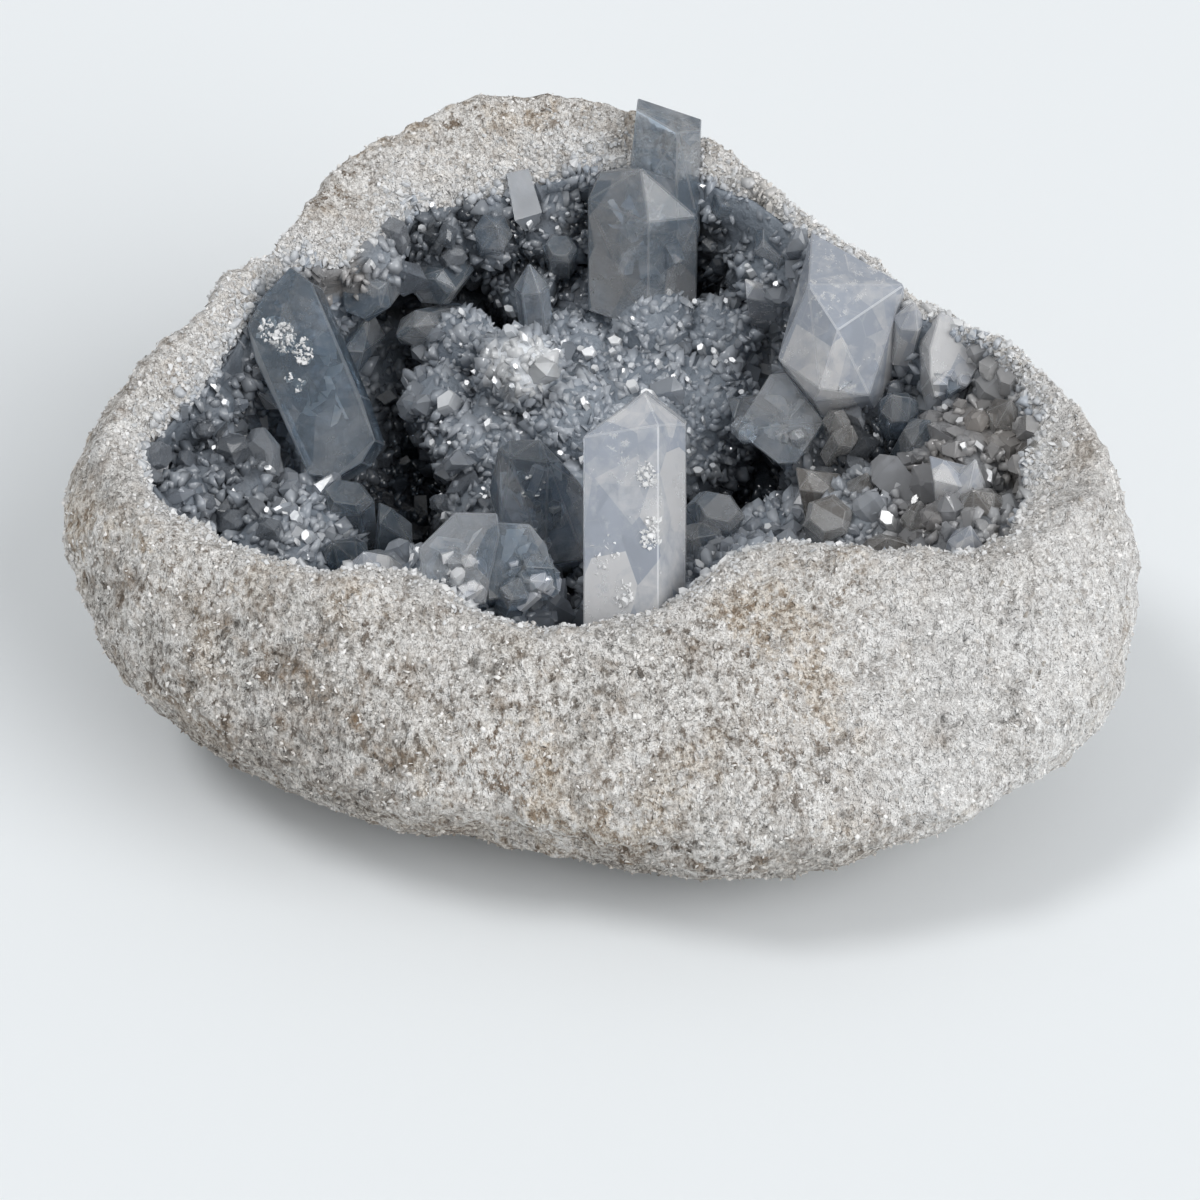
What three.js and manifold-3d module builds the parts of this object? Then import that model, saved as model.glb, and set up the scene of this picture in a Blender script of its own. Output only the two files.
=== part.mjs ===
// A celestite geode: a nodule of pale, limestone-like rock broken open at the top. It stands on a
// small flat spot, and its hollow is lined by one grown-together crust of blue-grey crystals.
// Millimetres, +Z up, origin at the bottom centre. The lower side of the rim faces -Y.
import * as THREE from "three";
import { ConvexGeometry } from "three/addons/geometries/ConvexGeometry.js";
import { mergeVertices } from "three/addons/utils/BufferGeometryUtils.js";
import Module from "manifold-3d";

const wasm = await Module();
wasm.setup();

// Every ring of the rock is read as a radius and a height at an angle round this upright axis.
const AXIS = new THREE.Vector3(0, -8, 0);
// Stations round the axis are spread as on an ellipse this much longer along X than along Y.
const STRETCH = 1.35;
const STATIONS = 42;
// Steps of the curve between one given point of a ring and the next.
const RING_STEPS = 12;

// Driving rings of the rock, anticlockwise from the right-hand tip: x, y, z.
// The crest is the highest line of the rim.
const CREST = [
  [59, -14.5, 45.2], [51.5, -1, 47.6], [38.5, 10, 48.8], [28.5, 20.5, 50], [20, 30.5, 52.4],
  [9, 39, 53.8], [-6, 43.8, 55], [-19.5, 42.8, 55], [-30, 35.5, 53.2], [-37.5, 23.2, 51],
  [-46, 10, 49.2], [-54.5, -4, 47.2],
  [-58, -14, 43.5], [-50, -24, 42.5], [-39, -28.5, 42], [-32, -32.5, 42.5], [-21.5, -31.5, 42.5],
  [-13, -37, 40.5], [4, -37, 40], [12, -33, 41.5], [18, -29, 43], [28.5, -30, 43], [41, -31.5, 43.5],
  [52, -27, 44],
];
// The lip is the edge of the hollow, where rock gives way to crystals.
const LIP = [
  [49, -14, 42], [51, -6, 44], [45, 4.5, 47], [36, 9, 48], [27, 19, 49], [20, 27.5, 50],
  [12, 32, 50.5], [-1, 36.5, 48.5], [-7.5, 35, 47.5], [-17, 32, 46.5], [-23.5, 31, 46.5],
  [-27, 23.5, 46], [-31, 20.5, 45.5], [-36, 21, 46.5], [-42, 10, 45.5], [-45, 2, 44.5],
  [-49, -4.5, 43.5], [-53, -11, 41.5], [-47.5, -19.5, 40.5], [-37.5, -24.5, 39], [-31, -28.5, 39],
  [-20.5, -27.5, 39], [-12, -33, 37], [4, -33, 36.5], [11.5, -29, 38], [18, -25, 39.5],
  [27.5, -26, 40], [39.5, -27, 41], [47.5, -22.5, 42],
];
// The belly is the widest line.
const BELLY = [
  [63, -22, 29], [57, 0, 28], [44, 15, 28], [33, 26, 28], [22, 36, 28], [9, 43, 28],
  [-8, 47, 28], [-23, 46, 28], [-36, 37, 28], [-44, 24, 28], [-53, 10, 29.5], [-61, -3, 32],
  [-64, -12, 33], [-54, -28.8, 26], [-33, -43, 22], [-8, -49, 21], [16, -53, 21], [38, -49, 21],
  [56, -38, 24],
];
// The underside turns in towards the foot here.
const UNDER = [
  [60, -21, 15], [50, -4, 13], [38, 9, 12], [12, 30, 12], [-8, 34, 12], [-24, 31, 12],
  [-47, 6, 12], [-54.5, -6, 14], [-56, -13, 14.5], [-52.5, -21, 10], [-41, -29.3, 7.8],
  [-29, -36.4, 7], [-18, -37.6, 7.6], [-6, -41.8, 7.8], [6, -45.4, 7.8], [18, -48, 8.2],
  [32, -42, 10], [46, -36.3, 12.4], [57.5, -32.5, 15.5],
];
const FOOT_CENTRE = new THREE.Vector3(2, -9, 0);
const FOOT_RADIUS_X = 24;
const FOOT_RADIUS_Y = 17;
// All of the underside but the foot stays at least this high.
const FOOT_STEP = 0.4;
// The shoulder lies between the belly and the crest, at these shares of the way in and up.
const SHOULDER_IN = 0.45;
const SHOULDER_UP = 0.68;

// The hollow below the lip
const WALL_THICKNESS = 6.5;
const WALL_HEIGHT = 29;
const FLOOR_EDGE_SHARE = 0.62;
const FLOOR_EDGE_HEIGHT = 15;
const FLOOR_HEIGHT = 11;

// Rows of the surface between one ring and the next: foot, under, belly, shoulder, crest, lip,
// then wall, floor edge and the middle of the floor
const OUTER_ROWS = [3, 4, 3, 3, 2];
const INNER_ROWS = [3, 3, 3];

// Worn lumps and pits in the rock
const LUMP_SIZE = 11;
const LUMP_HEIGHT = 1.3;
const PIT_SIZE = 4.5;
const PIT_HEIGHT = 0.7;

// The crust of crystals, and the gap that keeps it off the rock
const GAP = 0.35;
const BED_BACK = -1;
const BED_THICKNESS = 2.8;
const BED_LUMP_SIZE = 7;
const BED_LUMP_HEIGHT = 1.1;
const BED_LIP_SHARE = 0.6;
const BED_STATION_STEP = 2;

// Mounds of fine crystals that stand on the bed: x, y, z, radius.
const MOUNDS = [
  // The broad mound in the middle, and the knobs on it
  [-8, 16, 20, 13], [6, 18, 20, 14], [-2, 26, 23, 11], [10, 24, 23, 10], [-3, 4, 17, 11],
  [-9.7, 13.2, 35.4, 5], [6.8, 23.8, 33.5, 5.2], [14.6, 24, 31.6, 5], [-1.3, 31, 31.6, 5],
  [-9, 33, 33.4, 5], [-17.4, 22.8, 31.6, 4.5], [-19.4, 15.8, 27.6, 4.5], [-16, 11, 25.4, 5],
  [-3.7, 10.7, 28.6, 6.4], [13.6, 16, 27, 6], [-15, 2, 20, 5],
  // Under the back of the rim, from left to right
  [-49, 1, 38.5, 5], [-44, 11, 39.5, 5], [-31, 28, 41, 6.5], [-21.5, 34, 40, 6],
  [-14, 36.5, 40, 6.5], [-6, 36.5, 39.5, 6], [16.5, 36, 41, 6.5], [23, 28, 40, 6], [31, 19, 38, 6],
  // The right end
  [32, 7, 28, 9], [45, -3, 33, 8], [34, -9, 26, 9], [22, -7, 19, 9], [44, -19, 33, 6.5],
  // The left end
  [-37, -9, 25, 8], [-46, -6, 31, 7], [-50, -11, 34, 4.5], [-38, -16, 28, 7],
  // Behind the front of the rim
  [-22, -21, 26, 7], [-12, -25, 25, 8], [6, -25, 23, 9], [17, -20, 25, 8.5], [-13, -12, 17, 8],
  [5, -12, 17, 9],
];
// A mound is a nodule with so many corners, on a ball that is uneven by this share of its radius.
const FEWEST_CORNERS = 8;
const CORNERS_PER_RADIUS = 0.7;
const MOUND_UNEVENNESS = 0.16;
const GOLDEN_ANGLE = Math.PI * (3 - Math.sqrt(5));

// Small crystals on the mounds: they lean forwards and up, and their roots lie inside the mound.
const GRAINS_PER_RADIUS = 0.1;
const GRAIN_WIDTH = 2.4;
const GRAIN_LENGTH = 3.6;
const GRAIN_TURN = 45;
const GRAIN_LEAN = new THREE.Vector3(0, -0.5, 1);
const GRAIN_SPREAD = new THREE.Vector3(2, 2, 1);
const GRAIN_SIZE_SPREAD = 0.6;

// Shapes of crystals. An edge is [across, deep, share of the length that it runs to], across and
// deep being from -1 to 1, and the end is the points that close the crystal off.
const ring = (corners, share) => corners.map(([u, v]) => [u, v, share]);
const HEXAGON = [[1, 0.1], [0.5, 1], [-0.55, 0.95], [-1, -0.1], [-0.5, -1], [0.55, -0.95]];
const OBLONG = [
  [1, 0.4], [0.45, 1], [-0.45, 1], [-1, 0.4], [-1, -0.4], [-0.45, -1], [0.45, -1], [1, -0.4],
];
const SQUARE = [[1, 0.8], [-0.9, 1], [-1, -0.8], [0.9, -1]];
const SHAPES = {
  blunt: { edges: ring(HEXAGON, 0.9), end: HEXAGON.map(([u, v]) => [0.72 * u, 0.72 * v, 1 - 0.03 * u]) },
  chisel: { edges: ring(OBLONG, 0.78), end: [[-0.55, 0, 1], [0.45, 0.05, 0.97]] },
  slant: { edges: SQUARE.map(([u, v]) => [u, v, 0.86 - 0.12 * u]), end: [[-0.3, -0.2, 1]] },
  point: { edges: ring(HEXAGON, 0.66), end: [[0.05, 0, 1]] },
  grain: { edges: ring(SQUARE, 0.55), end: [[0, 0, 1]] },
};

// The large crystals: shape, root, tip, width, depth, and a turn about the length in degrees.
const CRYSTALS = [
  // Under the back of the rim, from left to right
  ["chisel", [-31.3, 28, 38], [-31.3, 22, 45], 4.6, 4, 0],
  ["blunt", [-26.5, 34, 36], [-29.4, 21, 40], 7, 6, 40],
  ["slant", [-35.5, 35, 29.6], [-28.5, 21, 32], 6.4, 5, 20],
  ["blunt", [-14.5, 40, 37.8], [-21.5, 26.7, 37], 6.6, 5.6, 10],
  ["chisel", [-18.7, 29, 30.5], [-24.2, 20, 36], 5.5, 4, 30],
  ["point", [-21, 37, 37.7], [-21, 31.8, 45], 5, 4.6, 0],
  ["point", [-14, 33.6, 38.7], [-13, 28.4, 46], 5, 4.6, 0],
  ["blunt", [-5, 33.6, 34], [-5, 29.6, 42], 4.6, 4, 0],
  ["point", [-7.9, 25, 32], [-8.9, 26, 42], 4.4, 4, 0],
  ["blunt", [3.8, 38.5, 38.8], [9, 28, 42], 6.2, 5.2, 15],
  ["blunt", [16.5, 39, 38], [16.5, 31.6, 49], 7.6, 6.4, 0],
  ["blunt", [21, 31.6, 36], [22.2, 25.3, 46], 6.6, 6, 30],
  ["slant", [21, 26.3, 31], [19.7, 21.4, 42], 3.8, 3, 0],
  // Between the mound and the right end
  ["slant", [23.2, 13, 23], [17.7, 9, 34], 4.6, 3.6, 10],
  ["point", [36.5, 10, 40], [37.4, 8, 50], 4, 3.4, 0],
  ["chisel", [35.3, 4.7, 30], [36, 0, 42], 4.6, 4, 0],
  ["point", [37, 0, 32], [39, -3.4, 41], 4.4, 4, 0],
  ["point", [29, 2.8, 33], [28, -0.7, 40], 3.4, 3, 0],
  ["point", [28.2, 0.8, 31.7], [30, -2, 39], 3.4, 3, 0],
  ["point", [47.3, -1.8, 36.5], [48.3, -4.6, 45], 4.6, 4.2, 0],
  ["point", [50.8, -8.8, 35], [50.8, -10.7, 44], 4.4, 4.2, 0],
  // The right end
  ["blunt", [28, -7, 25], [26.8, -13.7, 35], 6, 5.2, 20],
  ["point", [31, -6, 26], [31.5, -8.3, 37], 4.6, 4.2, 20],
  ["slant", [28, -4.8, 24], [26, -6, 35], 5.4, 4, 0],
  ["slant", [42.6, -12.3, 30], [41, -12.3, 42], 5, 4.6, 0],
  ["point", [42, -13.4, 31], [43.7, -12.8, 43], 4.6, 4.2, 25],
  ["chisel", [43.7, -15.6, 33], [44.6, -17.4, 42], 5, 4, 0],
  ["chisel", [30.5, -18, 28.5], [34.7, -21.6, 38], 6, 3.6, 0],
  ["point", [37.4, -13.6, 29], [37.4, -14.5, 38], 4, 4, 0],
  ["point", [41.5, -22.6, 33], [42.4, -23.5, 42], 4.2, 4, 0],
  // In front of the mound
  ["blunt", [11.2, -4.8, 20], [14, -9.8, 33], 7.4, 5, 0],
  ["chisel", [9, -9, 22], [12.4, -15, 33], 6.5, 5, 20],
  ["point", [-14.8, -23.7, 30.7], [-18.4, -24.7, 40], 4.5, 4.5, 0],
  // The left end
  ["blunt", [-30.3, -5, 19], [-30.3, -7.2, 33], 6.8, 5, 0],
  ["slant", [-25.7, -10, 18], [-24, -11.7, 34], 4.4, 3.6, 0],
  ["chisel", [-29.8, -16.2, 25], [-29.8, -18.2, 35], 5.2, 4, 10],
  ["chisel", [-26.7, -24.2, 27], [-25.6, -23.7, 38], 6, 4.6, 0],
  ["point", [-36.7, 11.7, 31.4], [-41.7, 6.7, 37], 3.6, 3.4, 0],
  ["chisel", [-54, -6.8, 31], [-53, -8.7, 40], 4.4, 4, 0],
];

// The largest crystals: the corners of the outer face, and the way from it to the back.
const BLADE = {
  face: [
    [5.1, -16.8, 56], [-1.9, -20, 52.2], [9.8, -16, 50.7], [6.6, -21.5, 55.2],
    [-1.9, -33, 34.6], [9.8, -29, 33.1], [6.6, -37, 34.2],
  ],
  back: [0.3, 6, -4.4],
};
const BEAM = {
  face: [
    [-37.2, 13.4, 50.9], [-34.6, 12.1, 49.5], [-32.2, 7.8, 44.9], [-28.8, 2.9, 39.6], [-27, -0.8, 35.7],
    [-28.6, -2.6, 33.7], [-31.8, -3.9, 32.3], [-35, -3.6, 32.6], [-37.8, 1, 37.6], [-41.4, 5.8, 42.7],
    [-42.4, 8.6, 45.8], [-40.6, 10.9, 48.3],
  ],
  back: [0.8, 5.2, -5],
};
const TOWER_BACK = {
  face: [
    [4.5, 37, 57.4], [12.4, 35, 55.6], [9.5, 33.4, 56.4], [12.4, 30, 44], [9.5, 28.5, 44], [3, 31, 44],
    [3, 33, 36], [12.4, 33, 36],
  ],
  back: [0.2, 3.2, -0.6],
};
const TOWER_FRONT = {
  face: [
    [0, 32, 51.4], [-1.5, 29.5, 49], [12.4, 34, 48], [12, 30, 46], [5, 30.5, 53], [6, 27, 47.5],
    [-1.5, 24, 36], [12, 25, 34], [6, 21, 35],
  ],
  back: [0.3, 8, -3],
};
const WEDGE = {
  face: [
    [25.7, 20, 51.2], [36.5, 11, 50.1], [33.8, 6, 43.8], [32.3, 2.4, 40], [25.6, 1, 40.3],
    [21.3, 5.4, 43.2], [24.8, 9, 51.7], [28.2, 4, 48.7], [26.2, 0.6, 42.5],
  ],
  back: [3, 7, -12],
};
const STUB = {
  face: [
    [-12, -7.8, 40.3], [-10.6, -7.5, 41.3], [-7.1, -7.5, 41.4], [-4.7, -7.6, 38.3], [-2, -7, 33.6],
    [-1.9, -10.2, 24.8], [-6.6, -12.1, 25.7], [-11.9, -10.6, 29.9], [-13.2, -7.7, 33.7],
    [-10.6, -8.7, 39.7], [-6.1, -8.9, 39.1],
  ],
  back: [0, 6, -8],
};
const BLOCK_LEFT = {
  face: [
    [-20.7, -28, 42.4], [-16.5, -25.9, 46], [-11.7, -25.9, 45.9], [-11.4, -27.2, 43.7],
    [-13.1, -31.2, 36.9], [-18.2, -31.5, 36.4], [-20.1, -30.6, 38],
  ],
  back: [0.5, 5, -6],
};
const BLOCK_MIDDLE = {
  face: [
    [-11.8, -26.1, 44.7], [-8, -26.2, 44.5], [-6.1, -27.4, 42.4], [-5.2, -29.5, 38.9],
    [-5.9, -30.2, 37.7], [-12.8, -30.7, 36.9], [-13, -27.9, 41.7],
  ],
  back: [0, 5, -6],
};
const SQUARE_BLOCK = {
  face: [
    [16.3, 1.6, 35.3], [20.5, 6.1, 40.3], [22.4, 6.2, 40.4], [25.6, 3.6, 37.5], [27, 2.2, 36],
    [23.7, -1, 32.3], [21.5, -1.1, 32.2],
  ],
  back: [1, 6, -6],
};
const RIGHT_BLOCK = {
  face: [
    [39.3, 4.4, 45.4], [40.6, 7.4, 48.8], [43.5, 7.1, 48.4], [45.8, 5.2, 46.2], [45.5, 3.5, 44.3],
    [43.9, 1.6, 42.1], [40, 0.7, 41.1], [39.4, 2.2, 42.8],
  ],
  back: [-0.5, 4.5, -5.5],
};
const LARGEST = [
  BLADE, BEAM, TOWER_BACK, TOWER_FRONT, WEDGE, STUB, BLOCK_LEFT, BLOCK_MIDDLE, SQUARE_BLOCK, RIGHT_BLOCK,
];

// A repeatable number from 0 to 1 for one cell of a lattice.
function hash(i, j, k) {
  const s = Math.sin(i * 127.1 + j * 311.7 + k * 74.7) * 43758.5453;
  return s - Math.floor(s);
}

// Smooth noise from -1 to 1, with bumps about one unit wide.
function noise(x, y, z) {
  const [i, j, k] = [Math.floor(x), Math.floor(y), Math.floor(z)];
  const ease = (t) => t * t * (3 - 2 * t);
  const [u, v, w] = [ease(x - i), ease(y - j), ease(z - k)];
  const mix = THREE.MathUtils.lerp;
  const edge = (b, c) => mix(hash(i, j + b, k + c), hash(i + 1, j + b, k + c), u);
  return 2 * mix(mix(edge(0, 0), edge(1, 0), v), mix(edge(0, 1), edge(1, 1), v), w) - 1;
}

// A closed ring through points, read at an angle round the axis.
function ringThrough(points) {
  const turn = 2 * Math.PI;
  const wrap = (angle) => ((angle % turn) + turn) % turn;
  const curve = new THREE.CatmullRomCurve3(points.map((p) => new THREE.Vector3(...p)), true);
  const samples = curve.getPoints(points.length * RING_STEPS).slice(1)
    .map((p) => ({ p, angle: wrap(Math.atan2(p.y - AXIS.y, p.x - AXIS.x)) }))
    .sort((a, b) => a.angle - b.angle);
  return (angle) => {
    const found = samples.findIndex((s) => s.angle > wrap(angle));
    const after = samples[Math.max(found, 0)];
    const before = samples[(Math.max(found, 0) + samples.length - 1) % samples.length];
    const span = wrap(after.angle - before.angle);
    return before.p.clone().lerp(after.p, span ? wrap(angle - before.angle) / span : 0);
  };
}
const [crestAt, lipAt, bellyAt, underAt] = [CREST, LIP, BELLY, UNDER].map(ringThrough);

function stationAngle(k) {
  const even = (2 * Math.PI * k) / STATIONS;
  return Math.atan2(Math.sin(even), Math.cos(even) * STRETCH);
}

// The points that the rock's outside passes through at one angle, from the foot up to the lip.
function outerStops(angle) {
  const foot = new THREE.Vector3(Math.cos(angle) * FOOT_RADIUS_X, Math.sin(angle) * FOOT_RADIUS_Y, 0)
    .add(FOOT_CENTRE);
  const [belly, crest] = [bellyAt(angle), crestAt(angle)];
  const shoulder = belly.clone().lerp(crest, SHOULDER_IN)
    .setZ(THREE.MathUtils.lerp(belly.z, crest.z, SHOULDER_UP));
  return [foot, underAt(angle), belly, shoulder, crest, lipAt(angle)];
}

// The points that the hollow's surface passes through at one angle, from the lip to the floor.
function innerStops(angle) {
  const belly = bellyAt(angle);
  const across = new THREE.Vector3(belly.x, belly.y, 0).sub(AXIS);
  const wall = across.clone().setLength(across.length() - WALL_THICKNESS).add(AXIS).setZ(WALL_HEIGHT);
  const floorEdge = wall.clone().lerp(AXIS, 1 - FLOOR_EDGE_SHARE).setZ(FLOOR_EDGE_HEIGHT);
  return [lipAt(angle), wall, floorEdge, AXIS.clone().setZ(FLOOR_HEIGHT)];
}

// Points along a smooth profile, with so many rows between one stop and the next.
function profile(stops, rows) {
  const curve = new THREE.CatmullRomCurve3(stops, false, "centripetal");
  const spans = stops.length - 1;
  const points = rows.flatMap((count, span) =>
    Array.from({ length: count }, (_, i) => curve.getPoint((span + i / count) / spans)));
  return [...points, stops[spans].clone()];
}

// Outward normals of a grid of points, rows[k][i] at station k and step i.
function gridNormals(rows) {
  const steps = rows[0].length;
  return rows.map((row, k) => row.map((_, i) => {
    const along = row[Math.min(i + 1, steps - 1)].clone().sub(row[Math.max(i - 1, 0)]);
    const next = rows[(k + 1) % rows.length][i];
    const around = next.clone().sub(rows[(k + rows.length - 1) % rows.length][i]);
    return around.cross(along).normalize();
  }));
}

// The whole surface of the rock, with its lumps and pits: rows[k][i], from the foot to the floor.
function rockRows() {
  const rows = Array.from({ length: STATIONS }, (_, k) => {
    const angle = stationAngle(k);
    const outer = profile(outerStops(angle), OUTER_ROWS);
    return [...outer, ...profile(innerStops(angle), INNER_ROWS).slice(1)];
  });
  const normals = gridNormals(rows);
  const last = rows[0].length - 1;
  return rows.map((row, k) => row.map((p, i) => {
    if (i === 0 || i === last) return p;
    const lump = LUMP_HEIGHT * noise(p.x / LUMP_SIZE, p.y / LUMP_SIZE, p.z / LUMP_SIZE)
      + PIT_HEIGHT * noise(p.x / PIT_SIZE, p.y / PIT_SIZE, p.z / PIT_SIZE);
    const moved = p.clone().addScaledVector(normals[k][i], lump);
    return moved.setZ(Math.max(moved.z, FOOT_STEP));
  }));
}

// A closed solid from a grid of points whose first and last steps each close on one point.
function solidFromRows(rows, first, last) {
  const steps = rows[0].length;
  const points = [first, ...rows.flat(), last];
  const index = (k, i) => 1 + (k % rows.length) * steps + i;
  const faces = [];
  for (let k = 0; k < rows.length; k++) {
    faces.push([0, index(k + 1, 0), index(k, 0)]);
    for (let i = 0; i < steps - 1; i++) {
      faces.push([index(k, i), index(k + 1, i), index(k + 1, i + 1)]);
      faces.push([index(k, i), index(k + 1, i + 1), index(k, i + 1)]);
    }
    faces.push([index(k, steps - 1), index(k + 1, steps - 1), points.length - 1]);
  }
  return solidFromFaces(points, faces);
}

function solidFromFaces(points, faces) {
  return new wasm.Manifold(new wasm.Mesh({
    numProp: 3,
    vertProperties: new Float32Array(points.flatMap((p) => [p.x, p.y, p.z])),
    triVerts: new Uint32Array(faces.flat()),
  }));
}

// A closed three.js geometry as a solid.
function solidFromGeometry(geometry) {
  const bare = geometry.clone().deleteAttribute("normal").deleteAttribute("uv");
  const merged = mergeVertices(bare, 1e-4);
  return new wasm.Manifold(new wasm.Mesh({
    numProp: 3,
    vertProperties: new Float32Array(merged.attributes.position.array),
    triVerts: new Uint32Array(merged.index.array),
  }));
}

// A solid as a named mesh.
function meshFromSolid(name, solid, material) {
  const { vertProperties, triVerts } = solid.getMesh();
  const geometry = new THREE.BufferGeometry();
  geometry.setAttribute("position", new THREE.Float32BufferAttribute(vertProperties, 3));
  geometry.setIndex(new THREE.BufferAttribute(triVerts, 1));
  geometry.computeVertexNormals();
  const mesh = new THREE.Mesh(geometry, material);
  mesh.name = name;
  return mesh;
}

const FIRST_INNER = OUTER_ROWS.reduce((sum, count) => sum + count, 0);

// The rock, or the rock grown by some amount over all but its foot.
function rockSolid(grow = 0) {
  const rows = rockRows();
  const normals = gridNormals(rows);
  const last = rows[0].length - 1;
  const grown = rows.map((row, k) => row.slice(0, last)
    .map((p, i) => p.clone().addScaledVector(normals[k][i], i ? grow : 0)));
  const floor = AXIS.clone().setZ(FLOOR_HEIGHT + grow);
  return solidFromRows(grown, FOOT_CENTRE, floor);
}

// The crust's bed: a bowl that thins out at the lip. Its back lies in the rock, which is cut away
// from it later.
function bedSolid() {
  const rows = rockRows().filter((_, k) => k % BED_STATION_STEP === 0).map((row) => row.slice(FIRST_INNER));
  const normals = gridNormals(rows);
  const moved = (k, distance) => rows[k].slice(0, -1)
    .map((p, i) => p.clone().addScaledVector(normals[k][i], distance(p, i)));
  const thickness = (p, i) => {
    const lump = noise(p.x / BED_LUMP_SIZE, p.y / BED_LUMP_SIZE, p.z / BED_LUMP_SIZE);
    return (BED_THICKNESS + BED_LUMP_HEIGHT * lump) * Math.min(1, BED_LIP_SHARE + i * (1 - BED_LIP_SHARE));
  };
  const bowl = rows.map((_, k) => [...moved(k, () => BED_BACK).reverse(), ...moved(k, thickness)]);
  const floor = AXIS.clone().setZ(FLOOR_HEIGHT);
  const [back, top] = [BED_BACK, BED_THICKNESS].map((rise) => floor.clone().setZ(FLOOR_HEIGHT + rise));
  return solidFromRows(bowl, back, top);
}

// One lump of a mound: a flat-faced nodule round corners spread over an uneven ball.
function moundSolid([x, y, z, radius], index) {
  const count = Math.round(FEWEST_CORNERS + CORNERS_PER_RADIUS * radius);
  const corners = Array.from({ length: count }, (_, n) => {
    const height = 1 - (2 * n + 1) / count;
    const across = Math.sqrt(1 - height * height);
    const reach = radius * (1 + MOUND_UNEVENNESS * (hash(index, n, 7) - 0.5));
    return new THREE.Vector3().setFromCylindricalCoords(across, n * GOLDEN_ANGLE, height)
      .multiplyScalar(reach).add(new THREE.Vector3(x, y, z));
  });
  return solidFromGeometry(new ConvexGeometry(corners));
}

// A crystal: the flat-faced solid round its foot, the ends of its edges and its end.
function crystalSolid([shape, root, tip, width, depth, turn]) {
  const foot = new THREE.Vector3(...root);
  const along = new THREE.Vector3(...tip).sub(foot);
  const length = along.length();
  along.normalize();
  const across = new THREE.Vector3(1, 0, 0).projectOnPlane(along).normalize()
    .applyAxisAngle(along, THREE.MathUtils.degToRad(turn));
  const deep = across.clone().cross(along);
  const point = ([u, v, share]) => foot.clone().addScaledVector(across, (u * width) / 2)
    .addScaledVector(deep, (v * depth) / 2).addScaledVector(along, share * length);
  const { edges, end } = SHAPES[shape];
  const base = edges.map(([u, v]) => [u, v, 0]);
  return solidFromGeometry(new ConvexGeometry([...base, ...edges, ...end].map(point)));
}

// A crystal from the corners of its outer face.
function facedSolid({ face, back }) {
  const front = face.map((corner) => new THREE.Vector3(...corner));
  const rear = front.map((corner) => corner.clone().add(new THREE.Vector3(...back)));
  return solidFromGeometry(new ConvexGeometry([...front, ...rear]));
}

// The small crystals on one mound, spread over its upper side.
function grainsOnMound([x, y, z, radius], index) {
  const centre = new THREE.Vector3(x, y, z);
  const count = Math.round(GRAINS_PER_RADIUS * radius);
  return Array.from({ length: count }, (_, n) => {
    const [side, front, up, size] = [1, 2, 3, 4].map((k) => hash(index, n, k) - 0.5);
    const way = new THREE.Vector3(side, front, up).multiply(GRAIN_SPREAD).add(GRAIN_LEAN).normalize();
    const scale = 1 + GRAIN_SIZE_SPREAD * size;
    const root = centre.clone().addScaledVector(way, radius - GRAIN_LENGTH / 2);
    const tip = root.clone().addScaledVector(way, GRAIN_LENGTH * scale);
    return crystalSolid(
      ["grain", root.toArray(), tip.toArray(), GRAIN_WIDTH * scale, GRAIN_WIDTH * scale, GRAIN_TURN]);
  });
}

// The crust is everything that grew in the hollow, cut clear of the rock. The cut leaves a few
// loose chips along the lip, so only the largest body is kept.
function crustSolid() {
  const grown = [
    bedSolid(), ...MOUNDS.map(moundSolid), ...MOUNDS.flatMap(grainsOnMound),
    ...CRYSTALS.map(crystalSolid), ...LARGEST.map(facedSolid),
  ];
  const whole = wasm.Manifold.union(grown).subtract(rockSolid(GAP));
  return whole.decompose().reduce((largest, body) => (body.volume() > largest.volume() ? body : largest));
}

const rockMaterial = new THREE.MeshStandardMaterial({ color: 0xc9c5bf, roughness: 0.95, metalness: 0 });
const crystalMaterial = new THREE.MeshStandardMaterial({ color: 0x8c99a8, roughness: 0.25, metalness: 0 });

const geode = new THREE.Group();
geode.add(
  meshFromSolid("rind", rockSolid(), rockMaterial),
  meshFromSolid("crystal_crust", crustSolid(), crystalMaterial),
);

// The origin is the middle of the flat spot's plane under the whole piece.
const middle = new THREE.Box3().setFromObject(geode, true).getCenter(new THREE.Vector3());
for (const mesh of geode.children) {
  mesh.geometry.translate(-middle.x, -middle.y, 0);
}
export default geode;
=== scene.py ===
import math

import bmesh
import bpy
import numpy as np
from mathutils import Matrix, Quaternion, Vector, noise
from mathutils.bvhtree import BVHTree


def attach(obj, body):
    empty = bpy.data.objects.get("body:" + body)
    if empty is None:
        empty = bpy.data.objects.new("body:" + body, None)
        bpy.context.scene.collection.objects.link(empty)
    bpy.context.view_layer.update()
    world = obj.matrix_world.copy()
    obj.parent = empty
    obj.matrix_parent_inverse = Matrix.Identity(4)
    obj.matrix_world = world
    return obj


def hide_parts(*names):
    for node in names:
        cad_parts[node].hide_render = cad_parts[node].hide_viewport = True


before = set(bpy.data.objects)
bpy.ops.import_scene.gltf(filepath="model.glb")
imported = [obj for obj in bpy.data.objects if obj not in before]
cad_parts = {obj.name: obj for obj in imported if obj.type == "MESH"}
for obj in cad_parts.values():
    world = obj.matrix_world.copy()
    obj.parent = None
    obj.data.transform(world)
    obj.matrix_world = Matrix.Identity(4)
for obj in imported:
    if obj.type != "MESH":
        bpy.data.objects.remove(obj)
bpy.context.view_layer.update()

# All lengths are millimetres in the drawing's frame, until a piece is made of them.
MM = 0.001
CENTRING = np.array([0.1546, 2.826, 0.0])
AXIS = np.array([0.0, -8.0, 0.0])

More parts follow.
